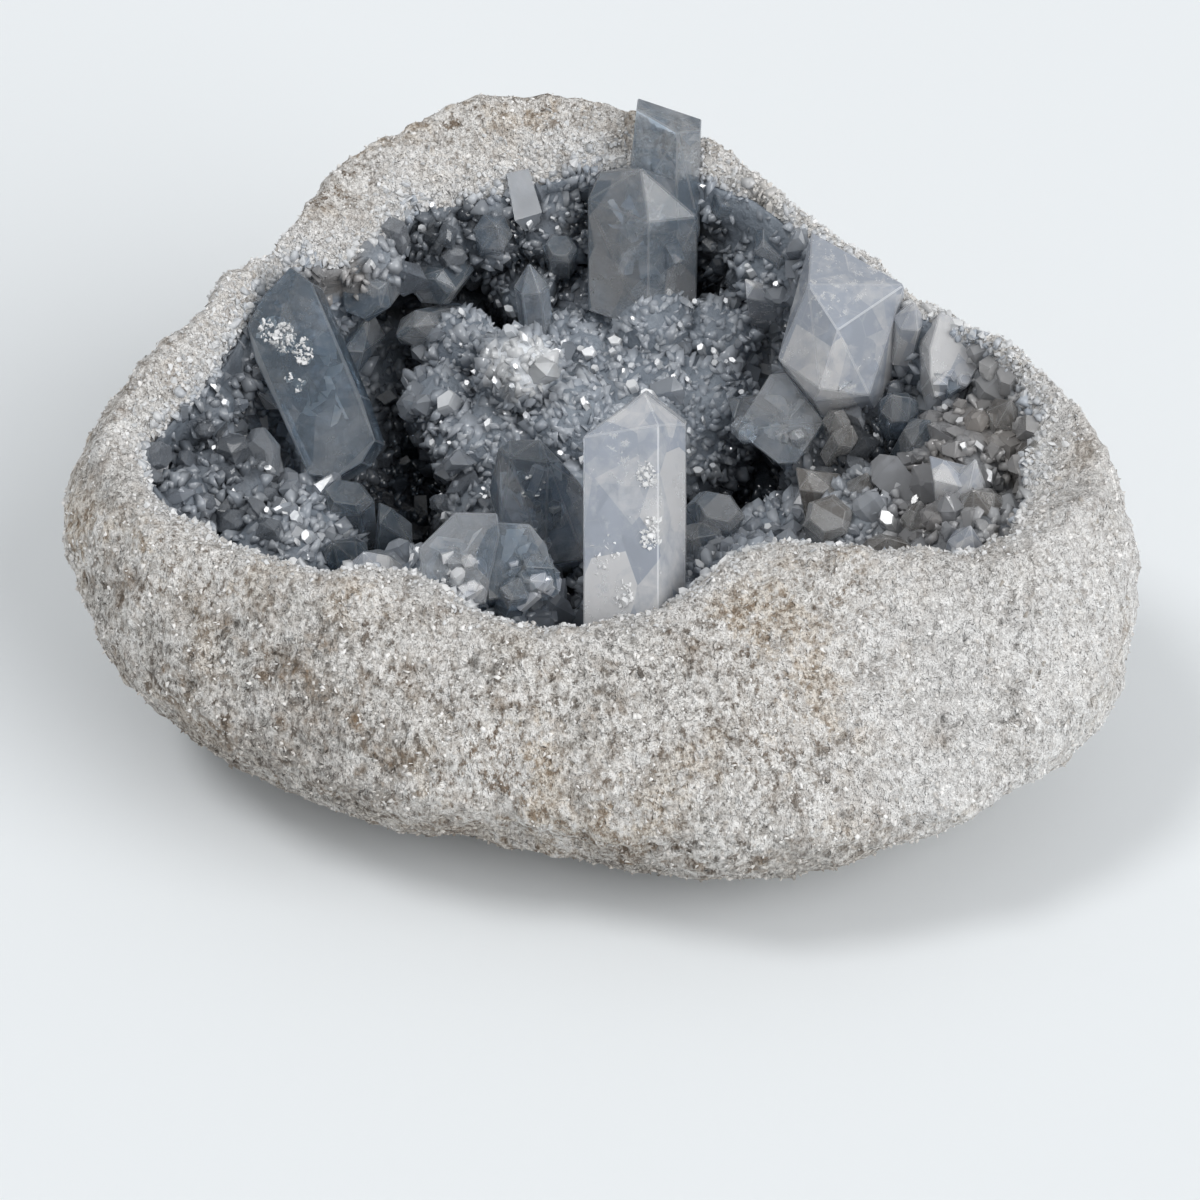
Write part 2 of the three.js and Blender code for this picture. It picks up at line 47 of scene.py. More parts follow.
# The edge of the hollow, anticlockwise from the right
LIP = [
    (49, -14, 42), (51, -6, 44), (45, 4.5, 47), (36, 9, 48), (27, 19, 49), (20, 27.5, 50),
    (12, 32, 50.5), (-1, 36.5, 48.5), (-7.5, 35, 47.5), (-17, 32, 46.5), (-23.5, 31, 46.5),
    (-27, 23.5, 46), (-31, 20.5, 45.5), (-36, 21, 46.5), (-42, 10, 45.5), (-45, 2, 44.5),
    (-49, -4.5, 43.5), (-53, -11, 41.5), (-47.5, -19.5, 40.5), (-37.5, -24.5, 39), (-31, -28.5, 39),
    (-20.5, -27.5, 39), (-12, -33, 37), (4, -33, 36.5), (11.5, -29, 38), (18, -25, 39.5),
    (27.5, -26, 40), (39.5, -27, 41), (47.5, -22.5, 42),
]

# Mounds of fine crystals: x, y, z, radius
MOUNDS = [
    # The broad mound in the middle, and the knobs on it
    (-8, 16, 20, 13), (6, 18, 20, 14), (-2, 26, 23, 11), (10, 24, 23, 10), (-3, 4, 17, 11),
    (-9.7, 13.2, 35.4, 5), (6.8, 23.8, 33.5, 5.2), (14.6, 24, 31.6, 5), (-1.3, 31, 31.6, 5),
    (-9, 33, 33.4, 5), (-17.4, 22.8, 31.6, 4.5), (-19.4, 15.8, 27.6, 4.5), (-16, 11, 25.4, 5),
    (-3.7, 10.7, 28.6, 6.4), (13.6, 16, 27, 6), (-15, 2, 20, 5),
    # Under the back of the rim, from left to right
    (-49, 1, 38.5, 5), (-44, 11, 39.5, 5), (-31, 28, 41, 6.5), (-21.5, 34, 40, 6),
    (-14, 36.5, 40, 6.5), (-6, 36.5, 39.5, 6), (16.5, 36, 41, 6.5), (23, 28, 40, 6), (31, 19, 38, 6),
    # The right end
    (32, 7, 28, 9), (45, -3, 33, 8), (34, -9, 26, 9), (22, -7, 19, 9), (44, -19, 33, 6.5),
    # The left end
    (-37, -9, 25, 8), (-46, -6, 31, 7), (-50, -11, 34, 4.5), (-38, -16, 28, 7),
    # Behind the front of the rim
    (-22, -21, 26, 7), (-12, -25, 25, 8), (6, -25, 23, 9), (17, -20, 25, 8.5), (-13, -12, 17, 8),
    (5, -12, 17, 9),
]

# Shapes of crystals: edges as (across, deep, share of the length), and the points of the end
HEXAGON = [(1, 0.1), (0.5, 1), (-0.55, 0.95), (-1, -0.1), (-0.5, -1), (0.55, -0.95)]
OBLONG = [(1, 0.4), (0.45, 1), (-0.45, 1), (-1, 0.4), (-1, -0.4), (-0.45, -1), (0.45, -1), (1, -0.4)]
SQUARE = [(1, 0.8), (-0.9, 1), (-1, -0.8), (0.9, -1)]
SHAPES = {
    "blunt": ([(u, v, 0.9) for u, v in HEXAGON], [(0.72 * u, 0.72 * v, 1 - 0.03 * u) for u, v in HEXAGON]),
    "chisel": ([(u, v, 0.78) for u, v in OBLONG], [(-0.55, 0, 1), (0.45, 0.05, 0.97)]),
    "slant": ([(u, v, 0.86 - 0.12 * u) for u, v in SQUARE], [(-0.3, -0.2, 1)]),
    "point": ([(u, v, 0.66) for u, v in HEXAGON], [(0.05, 0, 1)]),
}

# The large crystals: look, shape, root, tip, width, depth, and a turn about the length in degrees
CRYSTALS = [
    # Under the back of the rim, from left to right
    ("blue", "chisel", (-31.3, 28, 38), (-31.3, 22, 45), 4.6, 4, 0),
    ("blue", "blunt", (-26.5, 34, 36), (-29.4, 21, 40), 7, 6, 40),
    ("blue", "slant", (-35.5, 35, 29.6), (-28.5, 21, 32), 6.4, 5, 20),
    ("blue", "blunt", (-14.5, 40, 37.8), (-21.5, 26.7, 37), 6.6, 5.6, 10),
    ("blue", "chisel", (-18.7, 29, 30.5), (-24.2, 20, 36), 5.5, 4, 30),
    ("blue", "point", (-21, 37, 37.7), (-21, 31.8, 45), 5, 4.6, 0),
    ("blue", "point", (-14, 33.6, 38.7), (-13, 28.4, 46), 5, 4.6, 0),
    ("blue", "blunt", (-5, 33.6, 34), (-5, 29.6, 42), 4.6, 4, 0),
    ("blue", "point", (-7.9, 25, 32), (-8.9, 26, 42), 4.4, 4, 0),
    ("blue", "blunt", (3.8, 38.5, 38.8), (9, 28, 42), 6.2, 5.2, 15),
    ("blue", "blunt", (16.5, 39, 38), (16.5, 31.6, 49), 7.6, 6.4, 0),
    ("blue", "blunt", (21, 31.6, 36), (22.2, 25.3, 46), 6.6, 6, 30),
    ("pale", "slant", (21, 26.3, 31), (19.7, 21.4, 42), 3.8, 3, 0),
    # Between the mound and the right end
    ("blue", "slant", (23.2, 13, 23), (17.7, 9, 34), 4.6, 3.6, 10),
    ("pale", "point", (36.5, 10, 40), (37.4, 8, 50), 4, 3.4, 0),
    ("blue", "chisel", (35.3, 4.7, 30), (36, 0, 42), 4.6, 4, 0),
    ("blue", "point", (37, 0, 32), (39, -3.4, 41), 4.4, 4, 0),
    ("smoky", "point", (29, 2.8, 33), (28, -0.7, 40), 3.4, 3, 0),
    ("smoky", "point", (28.2, 0.8, 31.7), (30, -2, 39), 3.4, 3, 0),
    ("smoky", "point", (47.3, -1.8, 36.5), (48.3, -4.6, 45), 4.6, 4.2, 0),
    ("smoky", "point", (50.8, -8.8, 35), (50.8, -10.7, 44), 4.4, 4.2, 0),
    # The right end
    ("smoky", "blunt", (28, -7, 25), (26.8, -13.7, 35), 6, 5.2, 20),
    ("smoky", "point", (31, -6, 26), (31.5, -8.3, 37), 4.6, 4.2, 20),
    ("smoky", "slant", (28, -4.8, 24), (26, -6, 35), 5.4, 4, 0),
    ("pale", "slant", (42.6, -12.3, 30), (41, -12.3, 42), 5, 4.6, 0),
    ("pale", "point", (42, -13.4, 31), (43.7, -12.8, 43), 4.6, 4.2, 25),
    ("smoky", "chisel", (43.7, -15.6, 33), (44.6, -17.4, 42), 5, 4, 0),
    ("smoky", "chisel", (30.5, -18, 28.5), (34.7, -21.6, 38), 6, 3.6, 0),
    ("smoky", "point", (37.4, -13.6, 29), (37.4, -14.5, 38), 4, 4, 0),
    ("pale", "point", (41.5, -22.6, 33), (42.4, -23.5, 42), 4.2, 4, 0),
    # In front of the mound
    ("blue", "blunt", (11.2, -4.8, 20), (14, -9.8, 33), 7.4, 5, 0),
    ("blue", "chisel", (9, -9, 22), (12.4, -15, 33), 6.5, 5, 20),
    ("pale", "point", (-14.8, -23.7, 30.7), (-18.4, -24.7, 40), 4.5, 4.5, 0),
    # The left end
    ("deep", "blunt", (-30.3, -5, 19), (-30.3, -7.2, 33), 6.8, 5, 0),
    ("deep", "slant", (-25.7, -10, 18), (-24, -11.7, 34), 4.4, 3.6, 0),
    ("deep", "chisel", (-29.8, -16.2, 25), (-29.8, -18.2, 35), 5.2, 4, 10),
    ("pale", "chisel", (-26.7, -24.2, 27), (-25.6, -23.7, 38), 6, 4.6, 0),
    ("pale", "point", (-36.7, 11.7, 31.4), (-41.7, 6.7, 37), 3.6, 3.4, 0),
    ("pale", "chisel", (-54, -6.8, 31), (-53, -8.7, 40), 4.4, 4, 0),
]

# The largest crystals: look, corners of the outer face, and the way from it to the back
LARGEST = {
    "blade": ("pale", [
        (5.1, -16.8, 56), (-1.9, -20, 52.2), (9.8, -16, 50.7), (6.6, -21.5, 55.2),
        (-1.9, -33, 34.6), (9.8, -29, 33.1), (6.6, -37, 34.2),
    ], (0.3, 6, -4.4)),
    "beam": ("deep", [
        (-37.2, 13.4, 50.9), (-34.6, 12.1, 49.5), (-32.2, 7.8, 44.9), (-28.8, 2.9, 39.6),
        (-27, -0.8, 35.7), (-28.6, -2.6, 33.7), (-31.8, -3.9, 32.3), (-35, -3.6, 32.6),
        (-37.8, 1, 37.6), (-41.4, 5.8, 42.7), (-42.4, 8.6, 45.8), (-40.6, 10.9, 48.3),
    ], (0.8, 5.2, -5)),
    "tower_back": ("blue", [
        (4.5, 37, 57.4), (12.4, 35, 55.6), (9.5, 33.4, 56.4), (12.4, 30, 44), (9.5, 28.5, 44),
        (3, 31, 44), (3, 33, 36), (12.4, 33, 36),
    ], (0.2, 3.2, -0.6)),
    "tower_front": ("blue", [
        (0, 32, 51.4), (-1.5, 29.5, 49), (12.4, 34, 48), (12, 30, 46), (5, 30.5, 53), (6, 27, 47.5),
        (-1.5, 24, 36), (12, 25, 34), (6, 21, 35),
    ], (0.3, 8, -3)),
    "wedge": ("pale", [
        (25.7, 20, 51.2), (36.5, 11, 50.1), (33.8, 6, 43.8), (32.3, 2.4, 40), (25.6, 1, 40.3),
        (21.3, 5.4, 43.2), (24.8, 9, 51.7), (28.2, 4, 48.7), (26.2, 0.6, 42.5),
    ], (3, 7, -12)),
    "stub": ("blue", [
        (-12, -7.8, 40.3), (-10.6, -7.5, 41.3), (-7.1, -7.5, 41.4), (-4.7, -7.6, 38.3),
        (-2, -7, 33.6), (-1.9, -10.2, 24.8), (-6.6, -12.1, 25.7), (-11.9, -10.6, 29.9),
        (-13.2, -7.7, 33.7), (-10.6, -8.7, 39.7), (-6.1, -8.9, 39.1),
    ], (0, 6, -8)),
    "block_left": ("blue", [
        (-20.7, -28, 42.4), (-16.5, -25.9, 46), (-11.7, -25.9, 45.9), (-11.4, -27.2, 43.7),
        (-13.1, -31.2, 36.9), (-18.2, -31.5, 36.4), (-20.1, -30.6, 38),
    ], (0.5, 5, -6)),
    "block_middle": ("blue", [
        (-11.8, -26.1, 44.7), (-8, -26.2, 44.5), (-6.1, -27.4, 42.4), (-5.2, -29.5, 38.9),
        (-5.9, -30.2, 37.7), (-12.8, -30.7, 36.9), (-13, -27.9, 41.7),
    ], (0, 5, -6)),
    "square_block": ("blue", [
        (16.3, 1.6, 35.3), (20.5, 6.1, 40.3), (22.4, 6.2, 40.4), (25.6, 3.6, 37.5),
        (27, 2.2, 36), (23.7, -1, 32.3), (21.5, -1.1, 32.2),
    ], (1, 6, -6)),
    "right_block": ("pale", [
        (39.3, 4.4, 45.4), (40.6, 7.4, 48.8), (43.5, 7.1, 48.4), (45.8, 5.2, 46.2),
        (45.5, 3.5, 44.3), (43.9, 1.6, 42.1), (40, 0.7, 41.1), (39.4, 2.2, 42.8),
    ], (-0.5, 4.5, -5.5)),
}


# Materials

MILK_WHITE = (0.93, 0.945, 0.96)
CELESTITE_IOR = 1.62


class Shader:
    """A new material, with short calls for its nodes."""

    def __init__(self, name):
        self.material = bpy.data.materials.new(name)
        self.material.use_nodes = True
        self.tree = self.material.node_tree
        self.surface = self.tree.nodes["Principled BSDF"]
        self.place = self.tree.nodes.new("ShaderNodeTexCoord").outputs["Object"]

    def node(self, kind, **inputs):
        made = self.tree.nodes.new(kind)
        for name, value in inputs.items():
            self.feed(made.inputs[name.replace("_", " ")], value)
        return made

    def feed(self, socket, value):
        if isinstance(value, bpy.types.NodeSocket):
            self.tree.links.new(value, socket)
        else:
            socket.default_value = value

    def set(self, **inputs):
        for name, value in inputs.items():
            self.feed(self.surface.inputs[name.replace("_", " ")], value)

    def stretched(self, stretch):
        """Each place, with its coordinates multiplied by the three numbers of stretch."""
        if stretch is None:
            return self.place
        return self.node("ShaderNodeMapping", Vector=self.place, Scale=stretch).outputs["Vector"]

    def noise(self, size_mm, detail=4.0, roughness=0.55, stretch=None):
        """Noise with features of about that size."""
        made = self.node("ShaderNodeTexNoise", Vector=self.stretched(stretch), Scale=1 / (size_mm * MM),
                         Detail=detail, Roughness=roughness)
        return made.outputs["Fac"]

    def patches(self, size_mm, stretch):
        """The colours of flat-sided patches of about that size, each the same all over its patch."""
        made = self.node("ShaderNodeTexVoronoi", Vector=self.stretched(stretch), Scale=1 / (size_mm * MM))
        return made.outputs["Color"]

    def patch_edges(self, size_mm, stretch):
        """How far each place is from the edge of its patch."""
        made = self.node("ShaderNodeTexVoronoi", Vector=self.stretched(stretch), Scale=1 / (size_mm * MM))
        made.feature = "DISTANCE_TO_EDGE"
        return made.outputs["Distance"]

    def red(self, colour):
        split = self.tree.nodes.new("ShaderNodeSeparateColor")
        self.tree.links.new(colour, split.inputs["Color"])
        return split.outputs["Red"]

    def leaning(self, colour, tilt):
        """The surface's normal, tilted another way for each colour."""
        lean = self.tree.nodes.new("ShaderNodeVectorMath")
        lean.operation = "MULTIPLY_ADD"
        self.tree.links.new(colour, lean.inputs[0])
        lean.inputs[1].default_value = (2 * tilt,) * 3
        lean.inputs[2].default_value = (-tilt,) * 3
        total = self.tree.nodes.new("ShaderNodeVectorMath")
        self.tree.links.new(self.tree.nodes.new("ShaderNodeNewGeometry").outputs["Normal"], total.inputs[0])
        self.tree.links.new(lean.outputs["Vector"], total.inputs[1])
        unit = self.tree.nodes.new("ShaderNodeVectorMath")
        unit.operation = "NORMALIZE"
        self.tree.links.new(total.outputs["Vector"], unit.inputs[0])
        return unit.outputs["Vector"]

    def steps(self, value, low, high, to_low=0.0, to_high=1.0):
        """The value, stretched so that low and high become to_low and to_high."""
        made = self.node("ShaderNodeMapRange", Value=value, From_Min=low, From_Max=high, To_Min=to_low,
                         To_Max=to_high)
        made.clamp = True
        return made.outputs["Result"]

    def mix(self, share, first, second):
        """The first colour where the share is 0, and the second where it is 1."""
        made = self.tree.nodes.new("ShaderNodeMix")
        made.data_type = "RGBA"
        self.feed(made.inputs["Factor"], share)
        for socket, colour in (("A", first), ("B", second)):
            plain = not isinstance(colour, bpy.types.NodeSocket)
            self.feed(made.inputs[socket], (*colour, 1) if plain else colour)
        return made.outputs["Result"]

    def math(self, operation, first, second):
        made = self.tree.nodes.new("ShaderNodeMath")
        made.operation = operation
        self.feed(made.inputs[0], first)
        self.feed(made.inputs[1], second)
        return made.outputs["Value"]

    def add(self, first, second):
        return self.math("ADD", first, second)

    def times(self, first, second):
        return self.math("MULTIPLY", first, second)

    def most(self, first, second):
        return self.math("MAXIMUM", first, second)

    def attribute(self, name):
        made = self.tree.nodes.new("ShaderNodeAttribute")
        made.attribute_name = name
        return made.outputs["Fac"]

    def bump(self, height, depth_mm, strength=1.0, under=None):
        """The normal of a surface that rises and falls with the height, by that depth at most."""
        made = self.node("ShaderNodeBump", Height=height, Distance=depth_mm * MM, Strength=strength)
        if under:
            self.tree.links.new(under, made.inputs["Normal"])
        return made.outputs["Normal"]

    def absorb(self, colour, density):
        """Absorbs light inside the piece."""
        volume = self.node("ShaderNodeVolumeAbsorption", Density=density, Color=(*colour, 1))
        output = self.tree.nodes["Material Output"]
        self.tree.links.new(volume.outputs["Volume"], output.inputs["Volume"])


def rock_material():
    """Sugary limestone: grains of white, beige and grey, brown smudges, and dark grime in gaps and pits."""
    shader = Shader("rock")
    upright = (1.2, 1.2, 0.7)
    sugar = shader.noise(0.95, 4, 0.7, upright)
    grain = shader.noise(3.0, 4, 0.72, upright)
    broad = shader.noise(24, 2, 0.6)
    under = shader.attribute("under")
    frost = shader.attribute("frost")
    spark = shader.steps(sugar, 0.41, 0.56)

    # White, beige and grey
    white = shader.mix(spark, (0.66, 0.625, 0.585), (1.0, 0.98, 0.95))
    beige = shader.mix(spark, (0.36, 0.275, 0.195), (0.92, 0.85, 0.76))
    grey = shader.mix(spark, (0.27, 0.25, 0.225), (0.88, 0.855, 0.82))
    tinted = shader.mix(shader.steps(broad, 0.46, 0.56), beige, grey)
    layers = shader.add(shader.noise(9, 4, 0.62), shader.steps(grain, 0.3, 0.7, -0.16, 0.16))
    colour = shader.mix(shader.steps(layers, 0.42, 0.51), tinted, white)

    # Darker low down and at the left, brown stains and smudges, and frost over them
    darker_colour = shader.mix(spark, (0.12, 0.09, 0.068), (0.60, 0.545, 0.48))
    darker_share = shader.times(under, shader.steps(grain, 0.40, 0.62, 1, 0.4))
    colour = shader.mix(darker_share, colour, darker_colour)
    smudge = shader.times(shader.steps(shader.noise(5, 3, 0.65), 0.50, 0.62), shader.steps(broad, 0.46, 0.54))
    stained = shader.most(shader.attribute("stain"), smudge)
    colour = shader.mix(shader.times(stained, shader.steps(grain, 0.38, 0.60)), colour, (0.28, 0.2, 0.13))
    # The frost value also whitens the rock's right side
    frosty = shader.mix(spark, (0.78, 0.77, 0.76), (1.0, 0.995, 0.985))
    colour = shader.mix(shader.steps(frost, 0, 1, 0, 0.95), colour, frosty)

    # Dark gaps between grains, and pits
    gap_share = shader.most(shader.steps(layers, 0.52, 0.40), shader.steps(under, 0.3, 0.9, 0, 0.9))
    gaps = shader.times(shader.steps(shader.noise(0.7, 4, 0.72, (1.2, 1.2, 0.6)), 0.515, 0.64),
                        shader.steps(gap_share, 0, 1, 0.06, 0.9))
    pits = shader.times(shader.steps(shader.noise(1.5, 4, 0.8, upright), 0.50, 0.62),
                        shader.steps(shader.noise(9, 3, 0.7), 0.465, 0.53))
    hollows = shader.times(shader.attribute("pit"), shader.steps(sugar, 0.6, 0.42))
    dark = shader.most(shader.most(gaps, pits), hollows)
    dark = shader.times(dark, shader.steps(frost, 0, 1, 0.92, 0.3))
    dark_colour = shader.mix(shader.steps(broad, 0.4, 0.6), (0.19, 0.13, 0.08), (0.11, 0.088, 0.068))
    colour = shader.mix(dark, colour, dark_colour)

    shader.set(Base_Color=colour, Roughness=shader.steps(sugar, 0.4, 0.6, 0.8, 0.5), IOR=1.5)
    shader.set(Normal=shader.bump(sugar, 1.0, 0.9, shader.bump(grain, 2.4, 0.9)))
    return shader.material


def crystal_material(name, dark, light, absorbed, density, transmission, frost=0.5):
    """Clear to milky crystal, cracked inside into flat-sided patches of darker and lighter veils."""
    shader = Shader(name)
    patch = shader.patches(5.2, (1, 1, 0.6))
    small = (2.3, (1, 1.2, 0.8))
    edge = shader.attribute("edge")
    milk = shader.add(shader.steps(shader.noise(6, 4, 0.6), 0.3, 0.7, 0.42, 0.58),
                      shader.steps(shader.noise(1.6, 4, 0.65), 0.3, 0.7, 0.40, 0.60))
    tone = shader.add(shader.steps(shader.red(patch), 0, 1, -0.24, 0.24),
                      shader.steps(shader.red(shader.patches(*small)), 0, 1, -0.08, 0.08))
    veil = shader.steps(shader.add(milk, tone), 0.84, 1.16)

    # White cracks and frost, and painted highlights on the edges
    cracks = shader.times(shader.steps(shader.patch_edges(*small), 0.0, 0.035, 1, 0),
                          shader.steps(shader.noise(4, 3), 0.5, 0.58))
    frosted = shader.times(shader.steps(shader.noise(1.2, 4, 0.75), 0.54, 0.62),
                           shader.steps(shader.noise(7, 2), 0.50, 0.58, 0, frost))
    whiter = shader.most(frosted, shader.times(cracks, 0.4))
    # Painted highlight: the narrow bevels are made lighter in colour
    whiter = shader.most(whiter, shader.times(edge, 0.32))
    colour = shader.mix(whiter, shader.mix(veil, dark, light), MILK_WHITE)

    shader.set(Base_Color=colour, IOR=CELESTITE_IOR, Transmission_Weight=transmission)
    rougher = shader.add(shader.steps(frosted, 0, 1, 0, 0.4), shader.times(edge, 0.35))
    shader.set(Roughness=shader.add(shader.steps(veil, 0, 1, 0.04, 0.16), rougher))
    grooves = shader.noise(0.9, 3, 0.6, (2.5, 2.5, 0.15))
    shader.set(Normal=shader.bump(grooves, 0.03, 0.6, shader.leaning(patch, 0.035)))
    shader.absorb(absorbed, density)
    return shader.material


def crystal_looks():
    """The four kinds of large crystals."""
    return {
        "pale": crystal_material("crystal_pale", dark=(0.58, 0.63, 0.72), light=(0.99, 0.99, 1.0),
                                 absorbed=(0.70, 0.76, 0.86), density=20, transmission=0.45, frost=0.9),
        "blue": crystal_material("crystal_blue", dark=(0.46, 0.55, 0.65), light=(0.92, 0.95, 0.99),
                                 absorbed=(0.50, 0.62, 0.75), density=42, transmission=0.8),
        "deep": crystal_material("crystal_deep", dark=(0.36, 0.46, 0.56), light=(0.84, 0.90, 0.96),
                                 absorbed=(0.38, 0.50, 0.62), density=80, transmission=0.86),
        "smoky": crystal_material("crystal_smoky", dark=(0.50, 0.47, 0.44), light=(0.94, 0.93, 0.92),
                                  absorbed=(0.58, 0.53, 0.48), density=55, transmission=0.75),
    }


def druse_material(name, transmission):
    """Small crystals, each of its own tone: grey-blue to white, and brown where they are smoky."""
    shader = Shader(name)
    cloud = shader.steps(shader.noise(9, 4), 0.38, 0.64)
    base = shader.mix(cloud, (0.46, 0.51, 0.58), (0.61, 0.66, 0.73))
    colour = shader.mix(shader.attribute("tone"), base, MILK_WHITE)
    colour = shader.mix(shader.attribute("warmth"), colour, (0.50, 0.42, 0.34))
    # Painted shade: nearly black where the depth attribute marks the hollow's depths and gaps
    colour = shader.mix(shader.attribute("depth"), colour, (0.045, 0.055, 0.07))
    shader.set(Base_Color=colour, IOR=CELESTITE_IOR, Transmission_Weight=transmission)
    shader.set(Roughness=shader.steps(shader.noise(2.5, 3), 0.35, 0.65, 0.06, 0.26))
    shader.set(Normal=shader.bump(shader.noise(0.5, 3), 0.04, 0.4))
    return shader.material


def bed_material():
    """The lining under the small crystals: dark grey-blue, and nearly white under the pale knob."""
    shader = Shader("druse_bed")
    cloud = shader.steps(shader.noise(5, 5, 0.6), 0.36, 0.66)
    colour = shader.mix(cloud, (0.17, 0.20, 0.24), (0.29, 0.33, 0.38))
    colour = shader.mix(shader.attribute("pale"), colour, (0.80, 0.83, 0.87))
    colour = shader.mix(shader.attribute("warmth"), colour, (0.25, 0.20, 0.15))
    # Painted shade: nearly black where the depth attribute marks the hollow's depths and gaps
    colour = shader.mix(shader.attribute("depth"), colour, (0.012, 0.014, 0.018))
    shader.set(Base_Color=colour, Roughness=0.4, IOR=CELESTITE_IOR)
    shader.set(Normal=shader.bump(shader.noise(1.6, 5, 0.65), 0.8, 0.8))
    return shader.material


def frost_material():
    """White frost of tiny crystals, which turns grey-blue inside the rim."""
    shader = Shader("frost")
    tone = shader.attribute("tone")
    colour = shader.mix(tone, (0.60, 0.61, 0.62), (0.96, 0.965, 0.97))
    colour = shader.mix(shader.attribute("warmth"), colour, (0.70, 0.61, 0.50))
    colour = shader.mix(shader.attribute("depth"), colour, (0.42, 0.47, 0.54))
    shader.set(Base_Color=colour, IOR=1.58, Transmission_Weight=0.12)
    shader.set(Roughness=shader.steps(tone, 0, 1, 0.22, 0.5))
    shader.set(Normal=shader.bump(shader.noise(0.4, 3), 0.05, 0.5))
    return shader.material


def veil_material():
    """Cracks and milky films inside the crystals."""
    shader = Shader("veil")
    cloud = shader.steps(shader.noise(1.2, 5, 0.7), 0.4, 0.6)
    light = shader.mix(cloud, (0.80, 0.86, 0.93), (1.0, 1.0, 1.0))
    dark = shader.mix(cloud, (0.20, 0.26, 0.33), (0.36, 0.43, 0.52))
    colour = shader.mix(shader.steps(shader.attribute("tone"), 0.42, 0.5), dark, light)
    shader.set(Base_Color=colour, Roughness=0.25, IOR=1.4, Transmission_Weight=0.25)
    shader.set(Normal=shader.bump(cloud, 0.05, 0.6))
    return shader.material


def grit_material():
    """Sugary grains that stand up from the rock."""
    shader = Shader("grit")
    tone = shader.attribute("tone")
    plain_colour = shader.mix(tone, (0.42, 0.385, 0.345), (1.0, 0.985, 0.965))
    darker_colour = shader.mix(tone, (0.17, 0.135, 0.105), (0.70, 0.65, 0.59))
    # Darker low down and at the left, as on the rock
    colour = shader.mix(shader.attribute("under"), plain_colour, darker_colour)
    shader.set(Base_Color=colour, Roughness=shader.steps(shader.noise(0.7, 3), 0.4, 0.6, 0.6, 0.85), IOR=1.5)
    shader.set(Normal=shader.bump(shader.noise(0.35, 3), 0.12, 0.8))
    return shader.material


# Meshes

# A face is a bevel where its area, in mm2, is under this many times its longest side, in mm.
BEVEL_SHARE = 0.3


def add_piece(name, points, faces, material, slot, smooth=False, values=None):
    """A mesh piece from points in the drawing's frame, with the values as numbers at its points."""
    mesh = bpy.data.meshes.new(name)
    mesh.from_pydata(((np.asarray(points) + CENTRING) * MM).tolist(), [], faces)
    for key, numbers in (values or {}).items():
        layer = mesh.attributes.new(key, "FLOAT", "POINT")
        layer.data.foreach_set("value", np.asarray(numbers, dtype=np.float32))
    if smooth:
        mesh.shade_smooth()
    else:
        mesh.shade_flat()
    piece = bpy.data.objects.new(name, mesh)
    bpy.context.scene.collection.objects.link(piece)
    mesh.materials.append(material)
    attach(piece, "root")
    return piece


def longest_side(points, face):
    corners = [Vector(points[n]) for n in face]
    return max((a - b).length for a, b in zip(corners, corners[1:] + corners[:1]))


def add_crystals(name, points, faces, material):
    """Crystals as one piece, with their narrow bevels marked as edges for painted highlights."""
    piece = add_piece(name, points, faces, material, "celestite")
    narrow = [float(polygon.area / MM ** 2 < BEVEL_SHARE * longest_side(points, face))
              for polygon, face in zip(piece.data.polygons, faces)]
    piece.data.attributes.new("edge", "FLOAT", "FACE").data.foreach_set("value", narrow)


def mesh_points(mesh):
    """A mesh's points in the drawing's frame."""
    points = np.empty(len(mesh.vertices) * 3)
    mesh.vertices.foreach_get("co", points)
    return points.reshape(-1, 3) / MM - CENTRING


def mesh_arrays(mesh):
    """A mesh's points in the drawing's frame, and its triangles."""
    mesh.calc_loop_triangles()
    triangles = np.empty(len(mesh.loop_triangles) * 3, dtype=np.int32)
    mesh.loop_triangles.foreach_get("vertices", triangles)
    return mesh_points(mesh), triangles.reshape(-1, 3)


def hull(points):
    """The convex solid round some points, with one face for each flat."""
    solid = bmesh.new()
    for point in points:
        solid.verts.new(point)
    made = bmesh.ops.convex_hull(solid, input=solid.verts)
    inside = {v for v in made["geom_interior"] + made["geom_unused"] if isinstance(v, bmesh.types.BMVert)}
    bmesh.ops.delete(solid, geom=list(inside), context="VERTS")
    bmesh.ops.dissolve_limit(solid, angle_limit=math.radians(1), verts=solid.verts, edges=solid.edges)
    bmesh.ops.recalc_face_normals(solid, faces=solid.faces)
    return solid


def planes(solid):
    """Each face's outward normal and its distance from the origin."""
    solid.normal_update()
    return [(np.array(face.normal), float(face.normal.dot(face.verts[0].co))) for face in solid.faces]


def solid_arrays(solid):
    """A solid's points and faces. The solid itself is given up."""
    solid.verts.index_update()
    points = [tuple(v.co) for v in solid.verts]
    faces = [[v.index for v in face.verts] for face in solid.faces]
    solid.free()
    return points, faces


def bevelled(solid, width):
    bmesh.ops.bevel(solid, geom=solid.edges[:], offset=width, segments=1, affect="EDGES", clamp_overlap=True)
    return solid


def joined(parts):
    """Several (points, faces) as one."""
    points, faces, count = [], [], 0
    for part_points, part_faces in parts:
        points.append(np.asarray(part_points, dtype=float))
        faces += [[i + count for i in face] for face in part_faces]
        count += len(part_points)
    return np.concatenate(points), faces


def fractal(points, size, octaves=4, offset=0.0):
    """Layered noise at each point, about -1 to 1."""
    shift = Vector((offset, offset, offset))
    return np.array([noise.fractal(Vector(p) / size + shift, 0.8, 2.0, octaves) for p in points])


def distances(points, place):
    """How far each point is from a place."""
    return np.linalg.norm(points - np.array(place), axis=1)


# The lip

